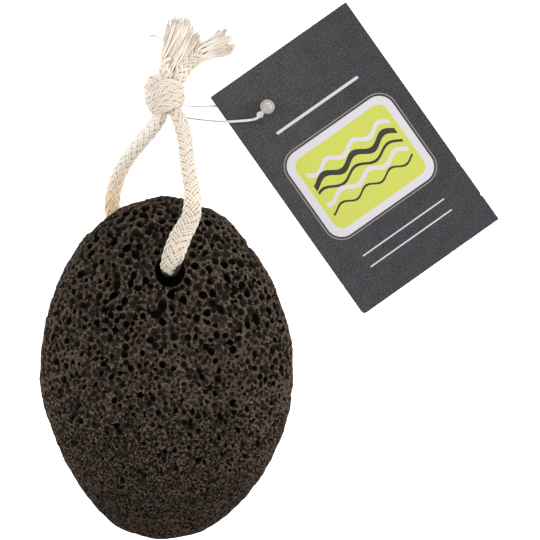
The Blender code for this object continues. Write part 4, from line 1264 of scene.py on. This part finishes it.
def tag_material():
    net = Net("Card_printed")
    uv = net.uv("card")
    u, v, _ = net.xyz(uv)
    x = net.math("MULTIPLY", net.math("SUBTRACT", u, 0.5), TAG_W)
    y = net.math("MULTIPLY", net.math("SUBTRACT", v, 0.5), TAG_L)
    at = net.vec(x, y)
    # charcoal ink on uncoated card
    cloud = net.noise(at, 0.22, 3.0, 0.6)
    fleck = net.noise(at, 1.75, 2.0, 0.55)
    tint = net.noise(at, 0.9, 2.0, 0.6, what=1)
    ink = net.mix(net.step(cloud, 0.36, 0.64), (0.0345, 0.0320, 0.0345), (0.0440, 0.0430, 0.0500))
    ink = net.mix(net.math("MULTIPLY", net.step(net.noise(at, 0.09, 2.0, 0.5), 0.42, 0.62), 0.5), ink, (0.0470, 0.0430, 0.0430))
    ink = net.mix(net.math("MULTIPLY", net.step(fleck, 0.52, 0.34), 0.42), ink, (0.014, 0.013, 0.015))
    ink = net.mix(net.math("MULTIPLY", net.step(fleck, 0.50, 0.70), 0.42), ink, (0.120, 0.115, 0.130))
    ink = net.mix(0.15, ink, tint, "SOFT_LIGHT")
    # painted shade: the ink darkens across the card towards its right and lower edges
    ink = net.mix(net.step(net.math("ADD", net.math("MULTIPLY", x, 0.82), net.math("MULTIPLY", y, -0.35)), -16.0, 6.0), ink, (0.80, 0.80, 0.83), "MULTIPLY")
    speck = net.math("MULTIPLY", net.step(net.cells(at, 0.55), 0.055, 0.03), net.step(net.noise(at, 0.2, 1.0), 0.5, 0.6))
    ink = net.mix(net.math("MULTIPLY", speck, 0.35), ink, (0.25, 0.24, 0.23))

    def box(cx, cy, hx, hy, r):
        """Signed distance to a rounded rectangle, negative inside."""
        dx = net.math("SUBTRACT", net.math("ABSOLUTE", net.math("SUBTRACT", x, cx)), hx - r)
        dy = net.math("SUBTRACT", net.math("ABSOLUTE", net.math("SUBTRACT", y, cy)), hy - r)
        ax, ay = net.math("MAXIMUM", dx, 0.0), net.math("MAXIMUM", dy, 0.0)
        out = net.math("SQRT", net.math("ADD", net.math("MULTIPLY", ax, ax), net.math("MULTIPLY", ay, ay)))
        inn = net.math("MINIMUM", net.math("MAXIMUM", dx, dy), 0.0)
        return net.math("SUBTRACT", net.math("ADD", out, inn), r)

    def inside(d, soft=0.06):
        return net.step(d, soft, -soft)

    panel = box(0.0, -3.0, 19.0, 15.0, 5.0)
    white = (0.555, 0.54, 0.58)
    colour = net.mix(inside(panel), ink, white)
    hair = net.math("ABSOLUTE", net.math("SUBTRACT", panel, 0.75))
    colour = net.mix(inside(net.math("SUBTRACT", hair, 0.14)), colour, (0.27, 0.245, 0.23))
    lime_box = box(0.0, -3.0, 16.6, 12.6, 3.2)
    lime = net.mix(net.step(net.noise(at, 3.0, 2.0, 0.6), 0.3, 0.7), (0.475, 0.505, 0.080), (0.505, 0.530, 0.098))
    colour = net.mix(inside(lime_box), colour, lime)
    # rippled water lines, thick and thin, across the panel
    in_lime = inside(net.math("ADD", lime_box, 1.6))
    for cy, amp, wave, half, phase, ink_colour in (
            (3.6, 1.1, 9.5, 0.75, 0.0, white), (0.2, 1.2, 11.0, 0.95, 1.3, (0.030, 0.030, 0.026)),
            (-3.2, 1.1, 12.0, 0.45, 2.2, (0.030, 0.030, 0.026)), (-6.2, 1.0, 10.0, 0.75, 0.7, white),
            (-9.6, 0.9, 9.0, 0.35, 2.9, (0.030, 0.030, 0.026))):
        ripple = net.math("MULTIPLY", net.math("SINE", net.math("ADD", net.math("MULTIPLY", x, TAU / wave), phase)), amp)
        d = net.math("SUBTRACT", net.math("ABSOLUTE", net.math("SUBTRACT", net.math("SUBTRACT", y, cy), ripple)), half)
        colour = net.mix(net.math("MULTIPLY", inside(d), in_lime), colour, ink_colour)
    # a plain rule above and two below
    for cx, cy, hx, hy in ((0.0, 19.5, 15.0, 0.45), (0.0, -25.5, 15.0, 0.22), (0.0, -29.5, 15.0, 0.22)):
        colour = net.mix(inside(box(cx, cy, hx, hy, min(hx, hy))), colour, (0.53, 0.52, 0.54))
    front = net.attribute("front")
    colour = net.mix(front, ink, colour)
    # rubbed paper at the cut edges
    worn = box(0.0, 0.0, TAG_W / 2, TAG_L / 2, 0.6)
    scuff = net.math("MULTIPLY", net.step(worn, -0.30, -0.02), net.step(net.noise(at, 1.3, 3.0, 0.7), 0.50, 0.66))
    colour = net.mix(net.math("MULTIPLY", scuff, 0.16), colour, (0.30, 0.26, 0.23))
    cut = net.attribute("cut_edge")
    core = net.mix(net.step(net.noise(at, 0.8, 3.0, 0.6), 0.48, 0.66), (0.040, 0.037, 0.037), (0.16, 0.14, 0.12))
    colour = net.mix(cut, colour, core)
    net.set(color=colour, rough=0.62, spec=0.30, normal=net.bump(fleck, 0.02, 0.3))
    return net.mat


tag = make_tag()
tag.data.materials.append(tag_material())

# ------------------------------------------------------------------ loop fastener
hole_at = on_tag(*TAG_HOLE, TAG_T / 2)
tag_up = unit(on_tag(*TAG_HOLE, 1.0) - on_tag(*TAG_HOLE, 0.0))


def lathe(profile, centre, axis, sides=40, shift=None):
    """A turned shape from (radius, height) pairs about an axis; shift moves rings sideways."""
    axis = unit(np.array(axis, float))
    a = unit(np.cross(axis, (0.0, 1.0, 0.0)))
    b = np.cross(axis, a)
    ang = np.arange(sides) * TAU / sides
    pts, quads, tris = [], [], []
    for i, (r, h) in enumerate(profile):
        off = np.zeros(3) if shift is None else shift[i]
        if r == 0:
            pts.append((centre + axis * h + off)[None])
        else:
            pts.append(centre + axis * h + off + r * (np.cos(ang)[:, None] * a + np.sin(ang)[:, None] * b))
    start = np.cumsum([0] + [len(p) for p in pts])
    k = np.arange(sides)
    k1 = (k + 1) % sides
    for i in range(len(pts) - 1):
        s0, s1 = start[i], start[i + 1]
        if len(pts[i]) == 1:
            tris.append(np.stack([np.full(sides, s0), s1 + k, s1 + k1], axis=1))
        elif len(pts[i + 1]) == 1:
            tris.append(np.stack([s0 + k, s0 + k1, np.full(sides, s1)], axis=1)[:, [0, 2, 1]])
        else:
            quads.append(np.stack([s0 + k, s1 + k, s1 + k1, s0 + k1], axis=1))
    return np.vstack(pts), (np.vstack(quads) if quads else np.zeros((0, 4), int)), \
        (np.vstack(tris) if tris else np.zeros((0, 3), int))


def make_fastener():
    parts, quads, tris = [], [], []

    def add(p, q, t):
        base = sum(len(x) for x in parts)
        parts.append(p)
        quads.append(np.asarray(q, int).reshape(-1, 4) + base)
        tris.append(np.asarray(t, int).reshape(-1, 3) + base)

    head = hole_at + tag_up * 2.3 + np.array([0.0, -0.5, 0.0])
    lean = np.array([-0.32, -0.28, 0.0])
    profile = [(0, 0.0), (1.9, 0.0), (2.1, 0.12), (2.15, 0.3), (2.15, 0.62), (2.08, 0.78), (1.9, 0.84),
               (1.62, 0.80), (1.52, 0.66), (1.46, 0.66), (1.42, 0.80), (1.40, 1.12), (1.32, 1.27),
               (1.12, 1.33), (0.6, 1.34), (0, 1.34)]
    shift = [lean * smooth(0.8, 1.3, h) if r < 1.5 and i > 7 else np.zeros(3) for i, (r, h) in enumerate(profile)]
    add(*lathe(profile, head, tag_up, 44, shift))
    # bead and neck
    bead = np.array([hole_at[0] - 2.1, hole_at[1] - 2.85, head[2] + 0.75])
    ball = [(0, -1.02)] + [(1.05 * math.cos(a), 1.02 * math.sin(a)) for a in np.linspace(-1.35, 1.35, 11)] + [(0, 1.02)]
    add(*lathe(ball, bead, (0, 0, 1), 28))
    neck = spline([head + tag_up * 0.95 + (-0.9, -1.0, 0), (head + tag_up * 0.9 + bead) / 2 + (-0.35, -0.5, 0), bead], 0.25)
    t, n = carried_frame(neck)
    add(*tube_batch(neck[None], n[None], np.full((1, len(neck)), 0.55), np.full((1, len(neck)), 0.42), 12))
    # the line: out over the card, round the strand, back under the card and up through its hole
    hx, hy = hole_at[0], hole_at[1]
    line = [tuple(bead), (bead[0] - 0.9, bead[1] - 1.0, bead[2] - 0.15), (24.6, 73.9, 3.4), (21.3, 73.6, 3.2),
            (17.0, 73.45, 2.9), (12.6, 73.7, 2.7), (9.0, 74.1, 2.6), (6.0, 74.5, 2.6), (3.2, 74.9, 3.0), (1.2, 75.3, 4.3),
            (0.3, 75.9, 6.2), (0.35, 76.6, 7.9), (1.3, 77.2, 8.6), (2.7, 77.75, 8.5), (4.0, 78.05, 7.6), (5.2, 78.05, 6.4),
            (6.9, 77.95, 4.9), (9.2, 78.0, 3.1), (11.8, 78.15, 1.4), (14.2, 78.25, 0.6), (17.0, 78.3, 0.45), (22.0, 78.3, 0.42),
            (hx - 3.0, hy, 0.42), (hx - 0.8, hy, 0.5), (hx, hy, 1.2), (hx, hy, head[2] + 0.2)]
    run = spline(line, 0.35)
    t, n = carried_frame(run)
    s = np.concatenate([[0], np.cumsum(np.linalg.norm(np.diff(run, axis=0), axis=1))])
    strip = smooth(0.0, 1.2, s) * smooth(13.0, 8.5, s)        # a flattened stretch next to the bead
    out = np.where((s < 14)[:, None], np.array([0.0, 0.0, 1.0]), n)
    out = unit(out - t * np.sum(out * t, axis=1, keepdims=True))
    wide = 0.29 + 0.09 * strip + 0.25 * smooth(1.4, 0.2, s)
    add(*tube_batch(run[None], out[None], wide[None], (0.28 + 0.10 * smooth(1.4, 0.2, s))[None], 12))
    mesh = build_mesh("loop_fastener", np.vstack(parts), np.vstack(quads), np.vstack(tris))
    return link("loop_fastener", mesh)


def plastic_material():
    net = Net("Plastic_milky")
    at = net.place()
    haze = net.noise(at, 0.7, 3.0, 0.55)
    colour = net.mix(net.step(haze, 0.3, 0.7), (0.46, 0.437, 0.405), (0.56, 0.537, 0.504))
    # the bare line is thinner and clearer than the head
    colour = net.mix(net.step(net.xyz(at)[0], 28.2, 26.6), colour, (0.86, 0.85, 0.83))
    colour = net.mix(net.step(net.xyz(at)[0], 19.0, 16.0), colour, (0.44, 0.43, 0.415))
    net.set(color=colour, rough=net.math("ADD", net.math("MULTIPLY", haze, 0.18), 0.22), spec=0.5,
            glass=0.35, ior=1.46, sss=0.15, sss_scale=0.0008, normal=net.bump(net.noise(at, 1.6, 2.0), 0.02, 0.4))
    return net.mat


fastener = make_fastener()
fastener.data.materials.append(plastic_material())

# ------------------------------------------------------------------ table top
floor_mesh = build_mesh("table_top", [(-4000, -4000, 0), (4000, -4000, 0), (4000, 4000, 0), (-4000, 4000, 0)],
                        quads=[(0, 1, 2, 3)], smooth=False)
floor = link("table_top", floor_mesh)
floor_net = Net("Table_white")
floor_at = floor_net.place()
floor_net.set(color=floor_net.mix(floor_net.noise(floor_at, 0.02, 2.0), (0.90, 0.90, 0.90), (0.93, 0.93, 0.93)), rough=0.7, spec=0.2)
floor_net.bsdf.inputs["Emission Color"].default_value = (1.0, 1.0, 1.0, 1.0)
floor_net.bsdf.inputs["Emission Strength"].default_value = 0.80        # a softly lit table
floor_mesh.materials.append(floor_net.mat)

# ------------------------------------------------------------------ what rides and replaces
pieces = {
    stone: ("stone", ["stone"]),
    right_strand: ("cord", ["cord_loop", "cord_knot", "cord_tail_side"]),
    left_strand: ("cord", ["cord_loop", "cord_knot", "cord_tail_up"]),
    fray_up: ("cord", ["cord_tail_up"]),
    fray_side: ("cord", ["cord_tail_side"]),
    tag: ("tag", ["tag"]),
    fastener: ("fastener", ["tag_fastener"]),
}
for piece, (slot, nodes) in pieces.items():
    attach(piece, "root")
    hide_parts(*nodes)


def length_of(points):
    return float(np.linalg.norm(np.diff(points, axis=0), axis=1).sum() * MM)


mouth_top = (HOLE_X * MM, 29.4 * MM, 0.0305)
mouth_low = (1.1 * MM, 35.0 * MM, 0.0088)
for strand, line, exit_at, fan in ((right_strand, right_line, mouth_top, fray_side),
                                   (left_strand, left_line, mouth_low, fray_up)):
    print("cord", strand.name, round(length_of(line) * 1000, 1), "mm", len(strand.data.polygons), "faces")

total = sum(sum(len(p.vertices) - 2 for p in obj.data.polygons) for obj in pieces)
print("triangles", {obj.name: sum(len(p.vertices) - 2 for p in obj.data.polygons) for obj in pieces}, total)
